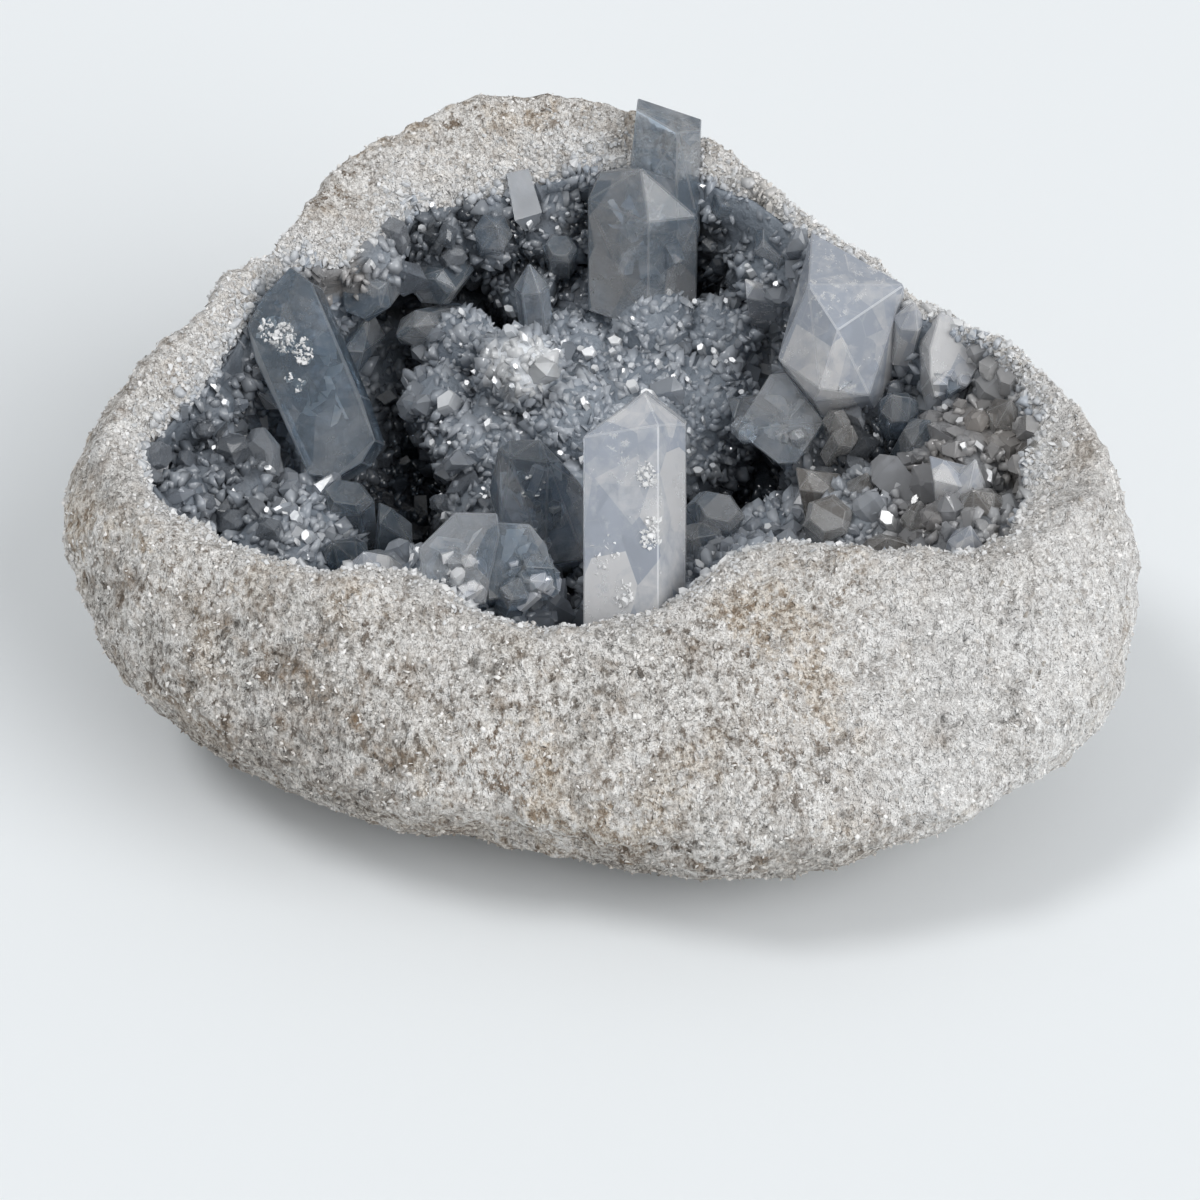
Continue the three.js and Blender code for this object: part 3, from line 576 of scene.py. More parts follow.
def lip_rows():
    """The lip's points in order of their angle round the axis, for three turns, after those angles."""
    ring = np.array(LIP, dtype=float)
    angles = np.arctan2(ring[:, 1] - AXIS[1], ring[:, 0] - AXIS[0])
    order = np.argsort(angles)
    turns = [angles[order] + turn for turn in (-2 * np.pi, 0, 2 * np.pi)]
    return np.concatenate(turns), np.tile(ring[order], (3, 1))


LIP_ANGLES, LIP_RING = lip_rows()


def lip_at(angle):
    """The lip's point at an angle round the axis."""
    return np.array([np.interp(angle, LIP_ANGLES, LIP_RING[:, k]) for k in range(3)])


def lip_gap(points):
    """How far each point lies outside the lip, seen from above, and its height over the lip there."""
    across = points[:, :2] - AXIS[:2]
    lip = lip_at(np.arctan2(across[:, 1], across[:, 0]))
    reach = np.hypot(lip[0] - AXIS[0], lip[1] - AXIS[1])
    return np.hypot(across[:, 0], across[:, 1]) - reach, points[:, 2] - lip[2]


# Rock

ROCK_VOXEL = 0.755
ROCK_SMOOTHING = 10
# How high the rock's lumps and grains rise, and how deep its pits are
LUMPS = 0.55
GRIT = 0.42
PIT_DEPTH = 0.75
# Brown stains on the rock: x, y, z and radius
STAINS = [
    (54, -22, 41, 6), (44, -26, 42, 5), (-28, 24, 50, 5), (-33, 17, 49, 5), (30, -47, 22, 5),
    (22, -47, 17, 5), (-33, -38, 30, 4), (-22, -39, 29, 3), (-47, -27, 33, 4), (57, -12, 42, 4),
]


def rounded_rock():
    """The rock's solid, with small even faces and rounded edges."""
    draft = bpy.data.objects.new("draft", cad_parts["rind"].data.copy())
    bpy.context.scene.collection.objects.link(draft)
    remesh = draft.modifiers.new("remesh", "REMESH")
    remesh.mode = "VOXEL"
    remesh.voxel_size = ROCK_VOXEL * MM
    smooth = draft.modifiers.new("smooth", "SMOOTH")
    smooth.factor = 0.5
    smooth.iterations = ROCK_SMOOTHING
    bpy.context.view_layer.update()
    mesh = bpy.data.meshes.new_from_object(draft.evaluated_get(bpy.context.evaluated_depsgraph_get()))
    bpy.data.objects.remove(draft)
    return mesh


def pits_at(points):
    """How far each point is in one of the rock's pits, which lie in groups."""
    pits = np.clip(2.5 * (fractal(points, 2.1, 4, 21.0) - 0.34), 0, 1)
    return pits * np.clip(1.5 * fractal(points, 11, 3, 30.0) + 0.7, 0, 1)


def frost_at(points):
    """How white the rock is made: frosted round the lip, and whitened all over its pale right side."""
    outside, over = lip_gap(points)
    near = np.clip(1 - outside / 9, 0, 1) * np.clip((over + 6) / 6, 0, 1)
    round_lip = np.clip(near * 1.2 + 0.35 * fractal(points, 7, 3, 9.0), 0, 1)
    # The right side is whitened with the same white as the frost
    right = np.clip((points[:, 0] - 16) / 22, 0, 1) * np.clip((points[:, 2] - 11) / 8, 0, 1)
    return np.maximum(round_lip, np.clip(right * (0.95 + 0.8 * fractal(points, 9, 4, 14.0)), 0, 1))


def darker_low_and_left_at(points):
    """How much darker the rock is made: more low down, and more at the left than at the right."""
    low = (24 - points[:, 2] - 0.15 * points[:, 0]) / 17
    return np.clip(low + 0.5 * fractal(points, 9, 3, 3.0), 0, 1)


def stain_at(points):
    stain = np.zeros(len(points))
    for x, y, z, radius in STAINS:
        stain = np.maximum(stain, np.clip(1.3 - distances(points, (x, y, z)) / radius, 0, 1))
    return stain


def rock_piece(material):
    """The rock, roughened, with its stains, its darkening low down and frost as numbers at its points."""
    mesh = rounded_rock()
    points = mesh_points(mesh)
    normals = np.empty(len(mesh.vertices) * 3)
    mesh.vertex_normals.foreach_get("vector", normals)
    pits = pits_at(points)
    rise = LUMPS * fractal(points, 6, 3) + GRIT * fractal(points, 2.6, 4, 5.0) - PIT_DEPTH * pits
    # The flat spot that the rock rests on stays flat.
    foot = np.clip((points[:, 2] - 0.3) / 2, 0, 1)
    moved = points + normals.reshape(-1, 3) * (rise * foot)[:, None]
    moved[:, 2] = np.maximum(moved[:, 2], 0)
    values = {"frost": 0.8 * frost_at(points), "under": darker_low_and_left_at(points), "stain": stain_at(points),
              "pit": 0.8 * pits}
    faces = [tuple(p.vertices) for p in mesh.polygons]
    piece = add_piece("rock", moved, faces, material, "rock", smooth=True, values=values)
    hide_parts("rind")
    return piece


# Bed of the crystals

BED_CENTRE = np.array([0.0, -4.0, 38.0])
BED_AROUND = 160
BED_DOWN = 56
BED_THICKNESS = 2.4
# Over how many points the bed thins out towards the lip
BED_THINNING = 6
# How deep mounds and crystals reach into the rock
ROOT_DEPTH = 0.8
# Painted shade: crystals below this height darken over this fade, and more at the back under the rim and at
# the left end
PAINTED_SHADE_TOP = 26.5
PAINTED_SHADE_FADE = 7.0
BACK_SHADE = 0.85
LEFT_SHADE = 0.42
# Gaps between the crystals, darkened with painted shade: x, y, z, radius
PAINTED_SHADE_GAPS = [
    (33.5, 2, 33, 5.5), (29, -1, 32, 4.5), (15, 31, 38, 5), (-45, 13, 37, 4), (-52.5, -1, 34, 4),
    (-37, 25, 39, 4.5), (-15, 35.5, 36, 4.5), (47.5, 4, 38, 3.5),
]
# A knob of the middle mound that is nearly white
PALE_KNOB = np.array([-9.7, 9.5, 38.7])
PALE_KNOB_RADIUS = 3.4


def bed_columns(rock_tree):
    """The hollow's wall seen from its middle: the way to each point and its reach, column by column."""
    columns = []
    for k in range(BED_AROUND):
        out = lip_at(2 * math.pi * k / BED_AROUND) - BED_CENTRE
        heading = math.atan2(out[1], out[0])
        highest = math.atan2(out[2] - 1.0, math.hypot(out[0], out[1]))
        column = []
        for j in range(1, BED_DOWN + 1):
            climb = -math.pi / 2 + (highest + math.pi / 2) * j / BED_DOWN
            level = math.cos(climb)
            way = Vector((math.cos(heading) * level, math.sin(heading) * level, math.sin(climb)))
            hit = rock_tree.ray_cast(Vector(BED_CENTRE), way)[0]
            reach = (hit - Vector(BED_CENTRE)).length if hit else float(np.linalg.norm(out))
            column.append((way, reach))
        columns.append(column)
    return columns


def bed_index(k, j):
    """The number of the bed's point j in column k, where the columns go round and round."""
    return (k % BED_AROUND) * BED_DOWN + j


def bed_arrays(rock_tree):
    """A closed, lumpy sheet along the hollow's wall."""
    columns = bed_columns(rock_tree)
    centre = Vector(BED_CENTRE)
    front, back = [], []
    for column in columns:
        for j, (way, reach) in enumerate(column):
            share = min(1.0, (BED_DOWN - 1 - j) / BED_THINNING)
            lump = noise.fractal((centre + way * reach) / 5, 0.8, 2.0, 3)
            front.append(centre + way * (reach - 0.7 - share * (BED_THICKNESS + 1.2 * lump)))
            back.append(centre + way * (reach - 0.25))
    bottom = centre + Vector((0, 0, -1)) * (columns[0][0][1] - BED_THICKNESS)
    points = front + back + [bottom, bottom - Vector((0, 0, BED_THICKNESS - 0.3))]
    offset = len(front)
    faces = []
    for k in range(BED_AROUND):
        for j in range(BED_DOWN - 1):
            quad = [bed_index(k, j), bed_index(k + 1, j), bed_index(k + 1, j + 1), bed_index(k, j + 1)]
            faces.append(quad)
            faces.append([i + offset for i in reversed(quad)])
        first, second = bed_index(k, BED_DOWN - 1), bed_index(k + 1, BED_DOWN - 1)
        faces.append([first, second, second + offset, first + offset])
        faces.append([bed_index(k + 1, 0), bed_index(k, 0), 2 * offset])
        faces.append([bed_index(k, 0) + offset, bed_index(k + 1, 0) + offset, 2 * offset + 1])
    return np.array([tuple(p) for p in points]), faces


def wall_gap(point, rock_tree):
    """How far a point lies behind the hollow's wall, seen from the hollow's middle, and the way to it."""
    way = Vector(point) - Vector(BED_CENTRE)
    hit = rock_tree.ray_cast(Vector(BED_CENTRE), way.normalized())[0]
    behind = way.length - (hit - Vector(BED_CENTRE)).length if hit else 0.0
    return behind, way.normalized()


def held_in(points, rock_tree):
    """The points, with those that lie deep in the rock or behind it moved back to just inside the wall."""
    held = []
    for point in points:
        behind, way = wall_gap(point, rock_tree)
        held.append(tuple(Vector(point) - way * max(0.0, behind - ROOT_DEPTH)))
    return held


def mound_arrays(x, y, z, radius, rock_tree):
    """An uneven ball, cut flat where it reaches into the rock."""
    ball = bmesh.new()
    bmesh.ops.create_icosphere(ball, subdivisions=4 if radius > 4.8 else 3, radius=1)
    points, faces = solid_arrays(ball)
    ways = np.array(points)
    centre = np.array([x, y, z])
    size = radius * (1 + 0.09 * fractal(centre + ways * radius, 3.2, 3))
    return held_in(centre + ways * size[:, None], rock_tree), faces


def warmth_at(points):
    """How brown the crystals are: the right end is smoky, and so is a spot under the back of the rim."""
    right = np.clip((points[:, 0] - 22) / 14, 0, 1) * np.clip((8 - points[:, 1]) / 10, 0, 1)
    spot = np.clip(1 - np.hypot(points[:, 0] + 33, points[:, 1] - 24) / 11, 0, 1) * (points[:, 2] > 40)
    return np.clip(np.maximum(0.7 * right, spot) * (0.45 + 0.5 * fractal(points, 6, 3, 4.0)), 0, 0.7)


def painted_shade_at(points):
    """How dark the hollow's depths are painted, as painted shade: 0 in the open, and 1 in the deepest gaps.
    """
    low = np.clip((PAINTED_SHADE_TOP - points[:, 2]) / PAINTED_SHADE_FADE, 0, 1)
    back = np.clip((points[:, 1] - 25) / 6, 0, 1) * np.clip((47 - points[:, 2]) / 3, 0, 1)
    left = np.clip((-34 - points[:, 0]) / 6, 0, 1)
    shade = np.maximum(BACK_SHADE * back, LEFT_SHADE * left)
    shade = shade * np.clip(1 + 1.2 * fractal(points, 4, 3, 17.0), 0.3, 1.6)
    for x, y, z, radius in PAINTED_SHADE_GAPS:
        shade = np.maximum(shade, np.clip(1.6 - 1.3 * distances(points, (x, y, z)) / radius, 0, 0.95))
    return np.clip(np.maximum(low, shade), 0, 1)


def knob_at(points):
    """How far each point is part of the nearly white knob: 1 on it, and 0 round it."""
    return np.clip(4.5 - 3 * distances(points, PALE_KNOB) / PALE_KNOB_RADIUS, 0, 1)


def add_bed(rock_tree):
    parts = [bed_arrays(rock_tree)] + [mound_arrays(*mound, rock_tree) for mound in MOUNDS]
    points, faces = joined(parts)
    values = {"warmth": warmth_at(points), "depth": painted_shade_at(points), "pale": knob_at(points)}
    bed = add_piece("druse_bed", points, faces, bed_material(), "celestite", smooth=True, values=values)
    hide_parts("crystal_crust")
    return bed


# Crystals with places of their own

CRYSTAL_BEVEL = 0.1
LARGEST_BEVEL = 0.15
SMALL_BEVEL = 0.05

# How many veils there are inside a crystal, and how many small crystals grow on it
VEILS = {"blade": 18, "beam": 22, "tower_back": 8, "tower_front": 18, "wedge": 16, "stub": 18,
         "block_left": 30, "block_middle": 30, "square_block": 8, "right_block": 8}
SATELLITES = {"block_left": 22, "block_middle": 22, "stub": 9, "tower_front": 16, "wedge": 8,
              "square_block": 4, "right_block": 4}

# White specks on large crystals: crystal, x, y, z, radius and how many
SPECKS = [
    ("beam", -39.9, 8.2, 45.4, 1.5, 50), ("beam", -37.8, 7.6, 44.6, 1.9, 110),
    ("beam", -35.6, 6.4, 43.4, 1.7, 70), ("beam", -36, 3.7, 40.5, 0.9, 12),
    ("beam", -37.2, 4.3, 41.1, 0.8, 9), ("beam", -33, 0.5, 37.5, 2.5, 12),
    ("blade", 5.2, -24.5, 50.4, 1.5, 70), ("blade", 5.6, -29, 45.6, 1.9, 110),
    ("blade", 8.6, -26, 46, 0.9, 22), ("blade", 0.4, -28.6, 42, 2.4, 26),
    ("blade", 3, -31.6, 38.6, 1.6, 30), ("block_left", -17, -29.5, 40, 2.4, 24),
    ("block_middle", -9, -29, 40, 2.2, 20), ("stub", -8, -9, 36, 2.2, 8),
]


def crystal_corners(shape, root, tip, width, depth, turn):
    foot, along = Vector(root), Vector(tip) - Vector(root)
    length = along.length
    along.normalize()
    across = Vector((1, 0, 0)) - along * along.x
    across.normalize()
    across.rotate(Quaternion(along, math.radians(turn)))
    deep = across.cross(along)
    edges, end = SHAPES[shape]
    base = [(u, v, 0) for u, v, _ in edges]
    return [tuple(foot + across * (u * width / 2) + deep * (v * depth / 2) + along * (share * length))
            for u, v, share in [*base, *edges, *end]]


def faced_corners(face, back):
    return face + [tuple(np.add(corner, back)) for corner in face]


def add_large_crystals(looks, rock_tree):
    """The crystals of both lists. Gives the flats of each."""
    flats = []
    groups = {look: [] for look in looks}
    for look, *form in CRYSTALS:
        solid = hull(held_in(crystal_corners(*form), rock_tree))
        flats.append(planes(solid))
        groups[look].append(solid_arrays(bevelled(solid, CRYSTAL_BEVEL)))
    for look, parts in groups.items():
        add_crystals(f"crystals_{look}", *joined(parts), looks[look])
    for name, (look, face, back) in LARGEST.items():
        solid = hull(held_in(faced_corners(face, back), rock_tree))
        flats.append(planes(solid))
        add_crystals(name, *solid_arrays(bevelled(solid, LARGEST_BEVEL)), looks[look])
    return flats


# Fine crystals

SEED = 11
# The way that the flattest of them face: halfway between the light and the viewer
FLASH_WAY = np.array([-0.228, -0.468, 0.854])
# Share of the places that have a fine crystal round the middle mound: in the open, and hidden under the lip
OPEN_SHARE = 0.62
HIDDEN_SHARE = 0.36
GRIT_MOST = 18000


def shape_arrays(corners):
    """The convex solid round some corners, as points and triangles."""
    solid = hull(corners)
    bmesh.ops.triangulate(solid, faces=solid.faces)
    points, faces = solid_arrays(solid)
    return np.array(points), np.array(faces)


def chunk_shapes(rng, count, corners):
    """Irregular flat-faced lumps, a little longer than wide."""
    shapes = []
    for _ in range(count):
        ways = rng.normal(size=(corners, 3))
        ways /= np.linalg.norm(ways, axis=1)[:, None]
        shapes.append(shape_arrays([tuple(w) for w in ways * [0.5, 0.5, 0.62]]))
    return shapes


def prism_shapes(rng, count):
    """Short crystals with a flat or pointed end, root at z = -0.5 and end at z = 0.5."""
    shapes = []
    for n in range(count):
        sides = 6 if n % 2 else 4
        turn = rng.uniform(0, np.pi)
        angles = turn + np.sort(2 * np.pi * (np.arange(sides) + rng.uniform(-0.22, 0.22, sides)) / sides)
        across = np.stack([np.cos(angles) * 0.5, np.sin(angles) * 0.42], axis=1)
        shoulder = 0.5 - rng.uniform(0.12, 0.4)
        base = [(u * 0.8, v * 0.8, -0.5) for u, v in across]
        edges = [(u, v, shoulder + rng.uniform(-0.06, 0.06)) for u, v in across]
        cap = rng.uniform(0.0, 0.6)
        shapes.append(shape_arrays(base + edges + [(u * cap, v * cap * 0.6, 0.5) for u, v in across]))
    return shapes


def plate_shapes(rng, count):
    """Short crystals with a broad flat end."""
    shapes = []
    for n in range(count):
        sides = 4 + n % 3
        angles = np.sort(2 * np.pi * (np.arange(sides) + rng.uniform(-0.25, 0.25, sides)) / sides)
        across = np.stack([np.cos(angles) * 0.5, np.sin(angles) * 0.36], axis=1)
        rings = ((1, -0.5), (1, 0.38), (0.86, 0.5))
        shapes.append(shape_arrays([(u * scale, v * scale, z) for scale, z in rings for u, v in across]))
    return shapes


def spread(points, triangles, spacing, rng):
    """Points about evenly spaced over a surface, with the surface's normal at each."""
    corners = points[triangles]
    cross = np.cross(corners[:, 1] - corners[:, 0], corners[:, 2] - corners[:, 0])
    area = np.linalg.norm(cross, axis=1) / 2
    count = int(3 * area.sum() / spacing ** 2)
    chosen = rng.choice(len(area), size=count, p=area / area.sum())
    u, v = rng.random(count), rng.random(count)
    flip = u + v > 1
    u[flip], v[flip] = 1 - u[flip], 1 - v[flip]
    a, b, c = (corners[chosen, k] for k in range(3))
    at = a + u[:, None] * (b - a) + v[:, None] * (c - a)
    # One point is kept in each cell of a cubic grid.
    _, first = np.unique(np.floor(at / spacing).astype(np.int64), axis=0, return_index=True)
    normals = cross[chosen[first]]
    return at[first], normals / np.maximum(np.linalg.norm(normals, axis=1), 1e-9)[:, None]


def inside_any(at, solids, margin):
    """Whether each point lies in one of the convex solids, or within the margin of it."""
    inside = np.zeros(len(at), dtype=bool)
    for flats in solids:
        inside |= np.max([at @ normal - distance for normal, distance in flats], axis=0) < margin
    return inside


def clear_of_all(at, normals, margin, flats, rock_tree):
    """Which points of the bed lie in the open hollow, outside the mounds, the large crystals and the rock."""
    keep = ~inside_any(at, flats, margin)
    for x, y, z, radius in MOUNDS:
        keep &= distances(at, (x, y, z)) > 0.86 * radius
    outside, over = lip_gap(at)
    keep &= ((outside < 1.0) | (over < -1.5)) & (at[:, 2] > 8)
    for n in np.nonzero(keep)[0]:
        hit = rock_tree.ray_cast(Vector(at[n]), Vector(normals[n]))
        keep[n] = (hit[0] is None or hit[3] > 1.5) and wall_gap(at[n], rock_tree)[0] < 0.3
    return keep


def on_the_middle(at):
    """Whether each point is on the broad mound in the middle."""
    return (np.hypot(at[:, 0] + 1, at[:, 1] - 17) < 19) & (at[:, 2] > 24)


def under_lip(at):
    """Whether each point is on the part of the wall that the lip hides from above."""
    return lip_gap(at)[0] > 1


def druse_values(at, rng):
    """How white each small crystal is, how brown, and how dark its painted shade is."""
    tone = 0.4 * rng.beta(1.2, 4, len(at)) + 0.2 * fractal(at, 4, 2, 8.0) + 0.05
    tone += 0.5 * np.clip((at[:, 0] - 42) / 5, 0, 1)
    tone = np.clip(tone + 0.9 * knob_at(at), 0, 1)
    return {"tone": tone, "warmth": warmth_at(at), "depth": painted_shade_at(at)}


def frames_along(normals, tilt, rng):
    """A turned frame for each normal: its third axis leans off the normal by up to about the tilt."""
    lean = normals + tilt * rng.normal(size=normals.shape)
    third = lean / np.linalg.norm(lean, axis=1)[:, None]
    other = rng.normal(size=normals.shape)
    first = np.cross(other, third)
    first /= np.linalg.norm(first, axis=1)[:, None]
    return np.stack([first, np.cross(third, first), third], axis=2)


def grains(at, normals, sizes, shapes, tilt, sink, rng):
    """One small crystal at each point: (points, triangles, which crystal each point is of)."""
    turned = frames_along(normals, tilt, rng)
    stretch = sizes[:, None] * rng.uniform([0.75, 0.75, 0.8], [1.15, 1.15, 1.35], size=(len(at), 3))
    kind = rng.integers(len(shapes), size=len(at))
    points, faces, owner, count = [], [], [], 0
    for n, (shape, triangles) in enumerate(shapes):
        mine = np.nonzero(kind == n)[0]
        local = shape[None] * stretch[mine][:, None, :]
        local[:, :, 2] += (0.5 - sink) * stretch[mine][:, None, 2]
        world = np.einsum("nij,nkj->nki", turned[mine], local) + at[mine][:, None]
        points.append(world.reshape(-1, 3))
        starts = count + np.arange(len(mine)) * len(shape)
        faces.append((triangles[None] + starts[:, None, None]).reshape(-1, 3))
        owner.append(np.repeat(mine, len(shape)))
        count += len(mine) * len(shape)
    return np.concatenate(points), np.concatenate(faces), np.concatenate(owner)


def add_grains(name, made, material, slot, values, smooth=False):
    """Small crystals as one piece, with a number for each crystal under each name in values."""
    points, faces, owner = made
    per_point = {key: numbers[owner] for key, numbers in values.items()}
    add_piece(name, points, faces.tolist(), material, slot, smooth, per_point)


def add_fine_druse(surface, flats, rock_tree, rng):
    """The coat of fine crystals, in two pieces: on the broad mound in the middle, and all round it."""
    at, normals = spread(*surface, 1.0, rng)
    keep = clear_of_all(at, normals, -0.2, flats, rock_tree)
    share = np.where(under_lip(at), HIDDEN_SHARE, OPEN_SHARE)
    keep &= on_the_middle(at) | (rng.random(len(at)) < share)
    at, normals = at[keep], normals[keep]
    middle = on_the_middle(at)
    coats = (("druse_middle", middle, 1.9, 0.67), ("druse_around", ~middle, 1.85, 0.5))
    for name, mine, coarse, sink in coats:
        sizes = coarse * (1 + 0.3 * fractal(at[mine], 5, 2, 6.0)) * rng.lognormal(0, 0.24, mine.sum())
        values = druse_values(at[mine], rng)
        made = grains(at[mine], normals[mine], sizes, chunk_shapes(rng, 14, 8), 0.35, sink, rng)
        add_grains(name, made, druse_material(name, 0.35), "celestite", values, smooth=True)


def add_large_druse(surface, flats, rock_tree, rng):
    """Larger crystals that stand clear of the fine ones: few on the middle mound, most at the right."""
    at, normals = spread(*surface, 2.5, rng)
    keep = clear_of_all(at, normals, 0.3, flats, rock_tree) & (lip_gap(at)[0] < 1)
    right_end = at[:, 0] > 22
    keep &= rng.random(len(at)) < np.where(on_the_middle(at), 0.05, np.where(right_end, 0.9, 0.55))
    at, normals, right_end = at[keep], normals[keep], right_end[keep]
    sizes = np.where(on_the_middle(at), 2.1, np.where(right_end, 3.3, 2.8)) * rng.lognormal(0, 0.28, len(at))
    values = druse_values(at, rng)
    made = grains(at, normals, sizes, prism_shapes(rng, 12), 0.5, 0.38, rng)
    add_grains("druse_large", made, druse_material("druse_large", 0.65), "celestite", values)


def add_flat_ends(surface, flats, rock_tree, rng):
    """Flat ends that face the light and the viewer, so they flash in the light; their pale tone adds a
    painted highlight.
    """
    at, normals = spread(*surface, 1.9, rng)
    keep = clear_of_all(at, normals, 0.2, flats, rock_tree)
    keep &= rng.random(len(at)) < 0.3
    keep &= normals @ FLASH_WAY > 0.3
    at, normals = at[keep], normals[keep]
    sizes = rng.lognormal(0, 0.38, len(at))
    # Painted highlight: a pale tone on the flat ends; the hollow's painted shade at 0.4 of its strength
    values = {"tone": rng.uniform(0.5, 1, len(at)), "warmth": 0.5 * warmth_at(at),
              "depth": 0.4 * painted_shade_at(at)}
    ways = np.tile(FLASH_WAY, (len(at), 1))
    made = grains(at + 0.35 * normals, ways, sizes, plate_shapes(rng, 6), 0.07, 0.3, rng)
    add_grains("druse_flats", made, druse_material("druse_flats", 0.2), "celestite", values)


def add_rim_frost(surface, look, rng):
    """Frost on the rim, finer away from the lip."""
    at, normals = spread(*surface, 0.66, rng)
    outside, over = lip_gap(at)
    near = np.clip(1.15 - outside / 6, 0, 1) * np.clip((over + 6) / 5, 0, 1) * (outside > -1.5)
    keep = rng.random(len(at)) < near + 0.3 * fractal(at, 6, 3, 2.0) * (near > 0)
    at, normals, outside = at[keep], normals[keep], outside[keep]
    sizes = np.interp(outside, [-1, 1, 5], [0.95, 0.68, 0.42]) * rng.lognormal(0, 0.3, len(at))
    values = {"tone": rng.random(len(at)), "warmth": np.clip(0.5 * fractal(at, 8, 3, 1.0) - 0.05, 0, 0.7),
              "depth": np.clip(0.3 - outside / 2.5, 0, 0.9)}
    made = grains(at, normals, sizes, chunk_shapes(rng, 8, 9), 0.6, 0.55, rng)
    add_grains("rim_frost", made, look, "celestite", values)


def add_rim_grains(surface, look, rng):
    """Glassy grains along the edge of the hollow."""
    at, normals = spread(*surface, 1.15, rng)
    outside, over = lip_gap(at)
    keep = (np.abs(outside - 0.2) < 1.6) & (over > -3) & (rng.random(len(at)) < 0.7)
    at, normals, outside = at[keep], normals[keep], outside[keep]
    sizes = 1.2 * rng.lognormal(0, 0.28, len(at))
    values = {"tone": rng.uniform(0, 0.8, len(at)), "warmth": np.clip(0.5 * fractal(at, 8, 3, 1.0), 0, 0.6),
              "depth": np.clip(0.85 - outside / 2.4, 0, 0.9)}
    made = grains(at, normals, sizes, chunk_shapes(rng, 8, 10), 0.6, 0.5, rng)
    add_grains("rim_grains", made, look, "celestite", values, smooth=True)


def add_rock_grit(surface, rng):
    """Sugary grains that stand up from the rock."""
    at, normals = spread(*surface, 0.78, rng)
    outside, _ = lip_gap(at)
    keep = (outside > 0.5) & (at[:, 2] > 0.8) & (rng.random(len(at)) < 0.75 + 0.6 * fractal(at, 6, 3, 12.0))
    at, normals = at[keep], normals[keep]
    few = rng.permutation(len(at))[:GRIT_MOST]
    at, normals = at[few], normals[few]
    sizes = np.minimum(0.55 * rng.lognormal(0, 0.35, len(at)), 0.95)
    tone = np.clip(rng.beta(1.8, 1.0, len(at)) + 0.45 * fractal(at, 5, 3, 8.0), 0, 1)
    made = grains(at, normals, sizes, chunk_shapes(rng, 12, 6), 0.7, 0.62, rng)
    add_grains("rock_grit", made, grit_material(), "rock", {"tone": tone, "under": darker_low_and_left_at(at)}, smooth=True)


# In and on the largest crystals

def fitting(middle, corner, flats):
    """The share of the way from the middle to the corner that stays inside the flats."""
    share = 1.0
    for normal, distance in flats:
        start, end = middle @ normal - distance, corner @ normal - distance
        if end > -0.3 and end > start:
            share = min(share, max(0.05, (-0.3 - start) / (end - start)))
    return share


def unit(vector):
    return vector / np.linalg.norm(vector)


def veil_ring(face, inward, flats, rng):
    """The middle and the corners of a flat film behind a crystal's face, and the way across the film."""
    share = rng.dirichlet(np.full(len(face), 0.7))
    middle = share @ face + inward * rng.uniform(0.7, 3.0)
    lean = unit(-inward + 0.55 * rng.normal(size=3))
    side = unit(np.cross(lean, rng.normal(size=3)))
    up = np.cross(lean, side)
    angles = np.sort(rng.uniform(0, 2 * np.pi, 5))
    reach = rng.uniform(1.0, 3.2)
    ring = [middle + reach * (0.6 * math.cos(a) * side + math.sin(a) * up) for a in angles]
    return middle, [middle + (corner - middle) * fitting(middle, corner, flats) for corner in ring], lean


def add_veils(rng):
    """Thin flat veils inside the largest crystals."""
    parts, tones = [], []
    for crystal, count in VEILS.items():
        _, face, back = LARGEST[crystal]
        flats = planes(hull(faced_corners(face, back)))
        for _ in range(count):
            middle, ring, lean = veil_ring(np.array(face), unit(np.array(back)), flats, rng)
            if inside_any(np.array([middle]), [flats], -0.35)[0]:
                parts.append(solid_arrays(hull([tuple(c + k * 0.03 * lean) for c in ring for k in (-1, 1)])))
                tones.append(np.full(len(parts[-1][0]), rng.random()))
    add_piece("veils", *joined(parts), veil_material(), "celestite", values={"tone": np.concatenate(tones)})


def satellite(face, inward, rock_tree, rng):
    """A small crystal that grows on a face, more often low on it, and leans up and outwards."""
    heights = face[:, 2]
    share = rng.dirichlet(np.where(heights < np.median(heights), 1.2, 0.25))
    root = share @ face + inward * rng.uniform(0.2, 1.0)
    way = -0.8 * inward + 0.55 * rng.normal(size=3) + (0, 0, 0.45)
    size = 1.9 * rng.lognormal(0, 0.35)
    tip = root + way / np.linalg.norm(way) * 0.75 * size
    shape = ("point", "chisel", "slant", "blunt")[rng.integers(4)]
    foot = root - way / np.linalg.norm(way) * 0.8 * size
    corners = crystal_corners(shape, foot, tip, size, 0.85 * size, rng.uniform(0, 90))
    return hull(held_in(corners, rock_tree))


def add_small_crystals(looks, rock_tree, rng):
    """Small crystals on the largest ones, in about their direction."""
    groups = {"pale": [], "blue": []}
    for crystal, count in SATELLITES.items():
        _, face, back = LARGEST[crystal]
        for _ in range(count):
            solid = satellite(np.array(face), unit(np.array(back)), rock_tree, rng)
            look = "pale" if rng.random() < 0.45 else "blue"
            groups[look].append(solid_arrays(bevelled(solid, SMALL_BEVEL)))
    for look, parts in groups.items():
        add_crystals(f"crystals_small_{look}", *joined(parts), looks[look])


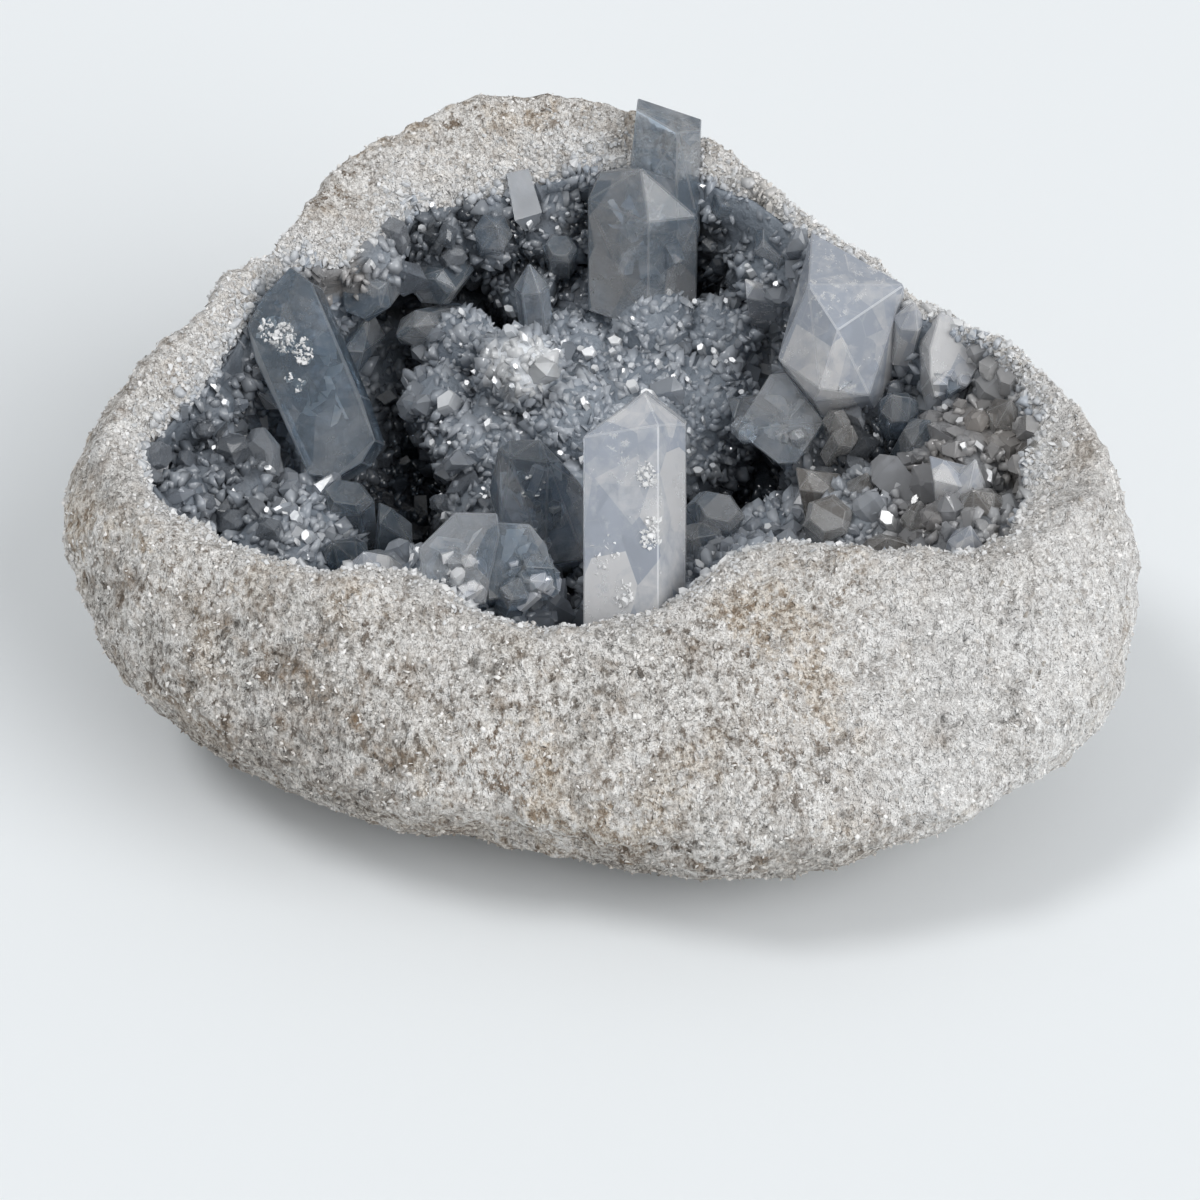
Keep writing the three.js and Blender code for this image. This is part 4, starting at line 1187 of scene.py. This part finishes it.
def spots_on(crystal, place, radius, count, rng):
    """Points scattered round a place on a crystal's nearest flat, with the flat's normal at each."""
    _, face, back = LARGEST[crystal]
    flats = planes(hull(faced_corners(face, back)))
    gaps = [np.dot(normal, place) - distance for normal, distance in flats]
    nearest = int(np.argmin(np.abs(gaps)))
    normal = flats[nearest][0]
    side = unit(np.cross(normal, (0, 0, 1)))
    up = np.cross(side, normal)
    reach = radius * np.sqrt(rng.random(count))
    angle = rng.uniform(0, 2 * np.pi, count)
    middle = np.array(place) - normal * gaps[nearest]
    spots = middle + np.outer(0.7 * reach * np.cos(angle), side) + np.outer(reach * np.sin(angle), up)
    spots = spots[inside_any(spots, [flats], 0.05)]
    return spots, np.tile(normal, (len(spots), 1))


def add_specks(look, rng):
    """Snow-white specks on the faces of the large crystals."""
    parts = [spots_on(crystal, (x, y, z), radius, count, rng) for crystal, x, y, z, radius, count in SPECKS]
    at, normals = (np.concatenate([part[k] for part in parts]) for k in range(2))
    sizes = 0.62 * rng.lognormal(0, 0.35, len(at))
    none = np.zeros(len(at))
    values = {"tone": rng.uniform(0.6, 1, len(at)), "warmth": none, "depth": none}
    made = grains(at, normals, sizes, chunk_shapes(rng, 6, 8), 0.3, 0.72, rng)
    add_grains("specks", made, look, "celestite", values)


# Floor, light and camera

FLOOR_REACH = 3.0
# The sky's strength near the horizon and overhead
SKY_LOW = 0.32
SKY_HIGH = 0.5
# Lamps far away: name, direction, strength, and how wide they look in degrees, which softens their shadows
LAMPS = [("key", (-0.42, -0.12, 0.9), 0.78, 16), ("fill", (0.66, -0.5, 0.56), 1.8, 50)]
CAMERA_AT = np.array([0, -360.4, 335.9])
CAMERA_TARGET = np.array([0, 10, 0])
CAMERA_LENS = 117
CAMERA_SENSOR = 36


def add_floor():
    corners = [(x * FLOOR_REACH, y * FLOOR_REACH, 0) for x, y in ((-1, -1), (1, -1), (1, 1), (-1, 1))]
    mesh = bpy.data.meshes.new("floor")
    mesh.from_pydata(corners, [], [(0, 1, 2, 3)])
    floor = bpy.data.objects.new("floor", mesh)
    bpy.context.scene.collection.objects.link(floor)
    paint = Shader("floor")
    paint.set(Base_Color=(0.85, 0.88, 0.90, 1), Roughness=0.9, Specular_IOR_Level=0.1)
    mesh.materials.append(paint.material)


def add_sky():
    """A pale sky that is brighter overhead."""
    sky = bpy.data.worlds.new("sky")
    sky.use_nodes = True
    tree = sky.node_tree
    way = tree.nodes.new("ShaderNodeTexCoord")
    split = tree.nodes.new("ShaderNodeSeparateXYZ")
    tree.links.new(way.outputs["Generated"], split.inputs["Vector"])
    rise = tree.nodes.new("ShaderNodeMapRange")
    tree.links.new(split.outputs["Z"], rise.inputs["Value"])
    for name, value in (("From Min", 0.15), ("From Max", 0.85), ("To Min", SKY_LOW), ("To Max", SKY_HIGH)):
        rise.inputs[name].default_value = value
    background = tree.nodes["Background"]
    background.inputs["Color"].default_value = (0.97, 0.985, 1.0, 1)
    tree.links.new(rise.outputs["Result"], background.inputs["Strength"])
    bpy.context.scene.world = sky


def add_lamp(name, way, energy, angle):
    lamp = bpy.data.lights.new(name, "SUN")
    lamp.energy = energy
    lamp.angle = math.radians(angle)
    holder = bpy.data.objects.new(name, lamp)
    holder.rotation_euler = Vector(way).to_track_quat("Z", "Y").to_euler()
    bpy.context.scene.collection.objects.link(holder)


def add_camera():
    data = bpy.data.cameras.new("camera")
    data.lens = CAMERA_LENS
    data.sensor_width = CAMERA_SENSOR
    camera = bpy.data.objects.new("camera", data)
    place = (CAMERA_AT + CENTRING) * MM
    target = (CAMERA_TARGET + CENTRING) * MM
    camera.location = place
    camera.rotation_euler = Vector(place - target).to_track_quat("Z", "Y").to_euler()
    bpy.context.scene.collection.objects.link(camera)
    bpy.context.scene.camera = camera


# The scene

def add_geode():
    rng = np.random.default_rng(SEED)
    rock_points, rock_triangles = mesh_arrays(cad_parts["rind"].data)
    rock_tree = BVHTree.FromPolygons(rock_points.tolist(), rock_triangles.tolist())
    rock = rock_piece(rock_material())
    looks = crystal_looks()
    flats = add_large_crystals(looks, rock_tree)
    hollow = mesh_arrays(add_bed(rock_tree).data)
    add_fine_druse(hollow, flats, rock_tree, rng)
    add_large_druse(hollow, flats, rock_tree, rng)
    add_flat_ends(hollow, flats, rock_tree, rng)
    outside = mesh_arrays(rock.data)
    frost = frost_material()
    add_rim_frost(outside, frost, rng)
    add_rim_grains(outside, frost, rng)
    add_rock_grit(outside, rng)
    add_veils(rng)
    add_small_crystals(looks, rock_tree, rng)
    add_specks(frost, rng)


add_geode()
add_floor()
add_sky()
for lamp in LAMPS:
    add_lamp(*lamp)
add_camera()

scene = bpy.context.scene
scene.view_settings.view_transform = "Standard"
scene.cycles.use_denoising = True
scene.cycles.max_bounces = 8
scene.cycles.diffuse_bounces = 3
scene.cycles.glossy_bounces = 3
scene.cycles.transmission_bounces = 8
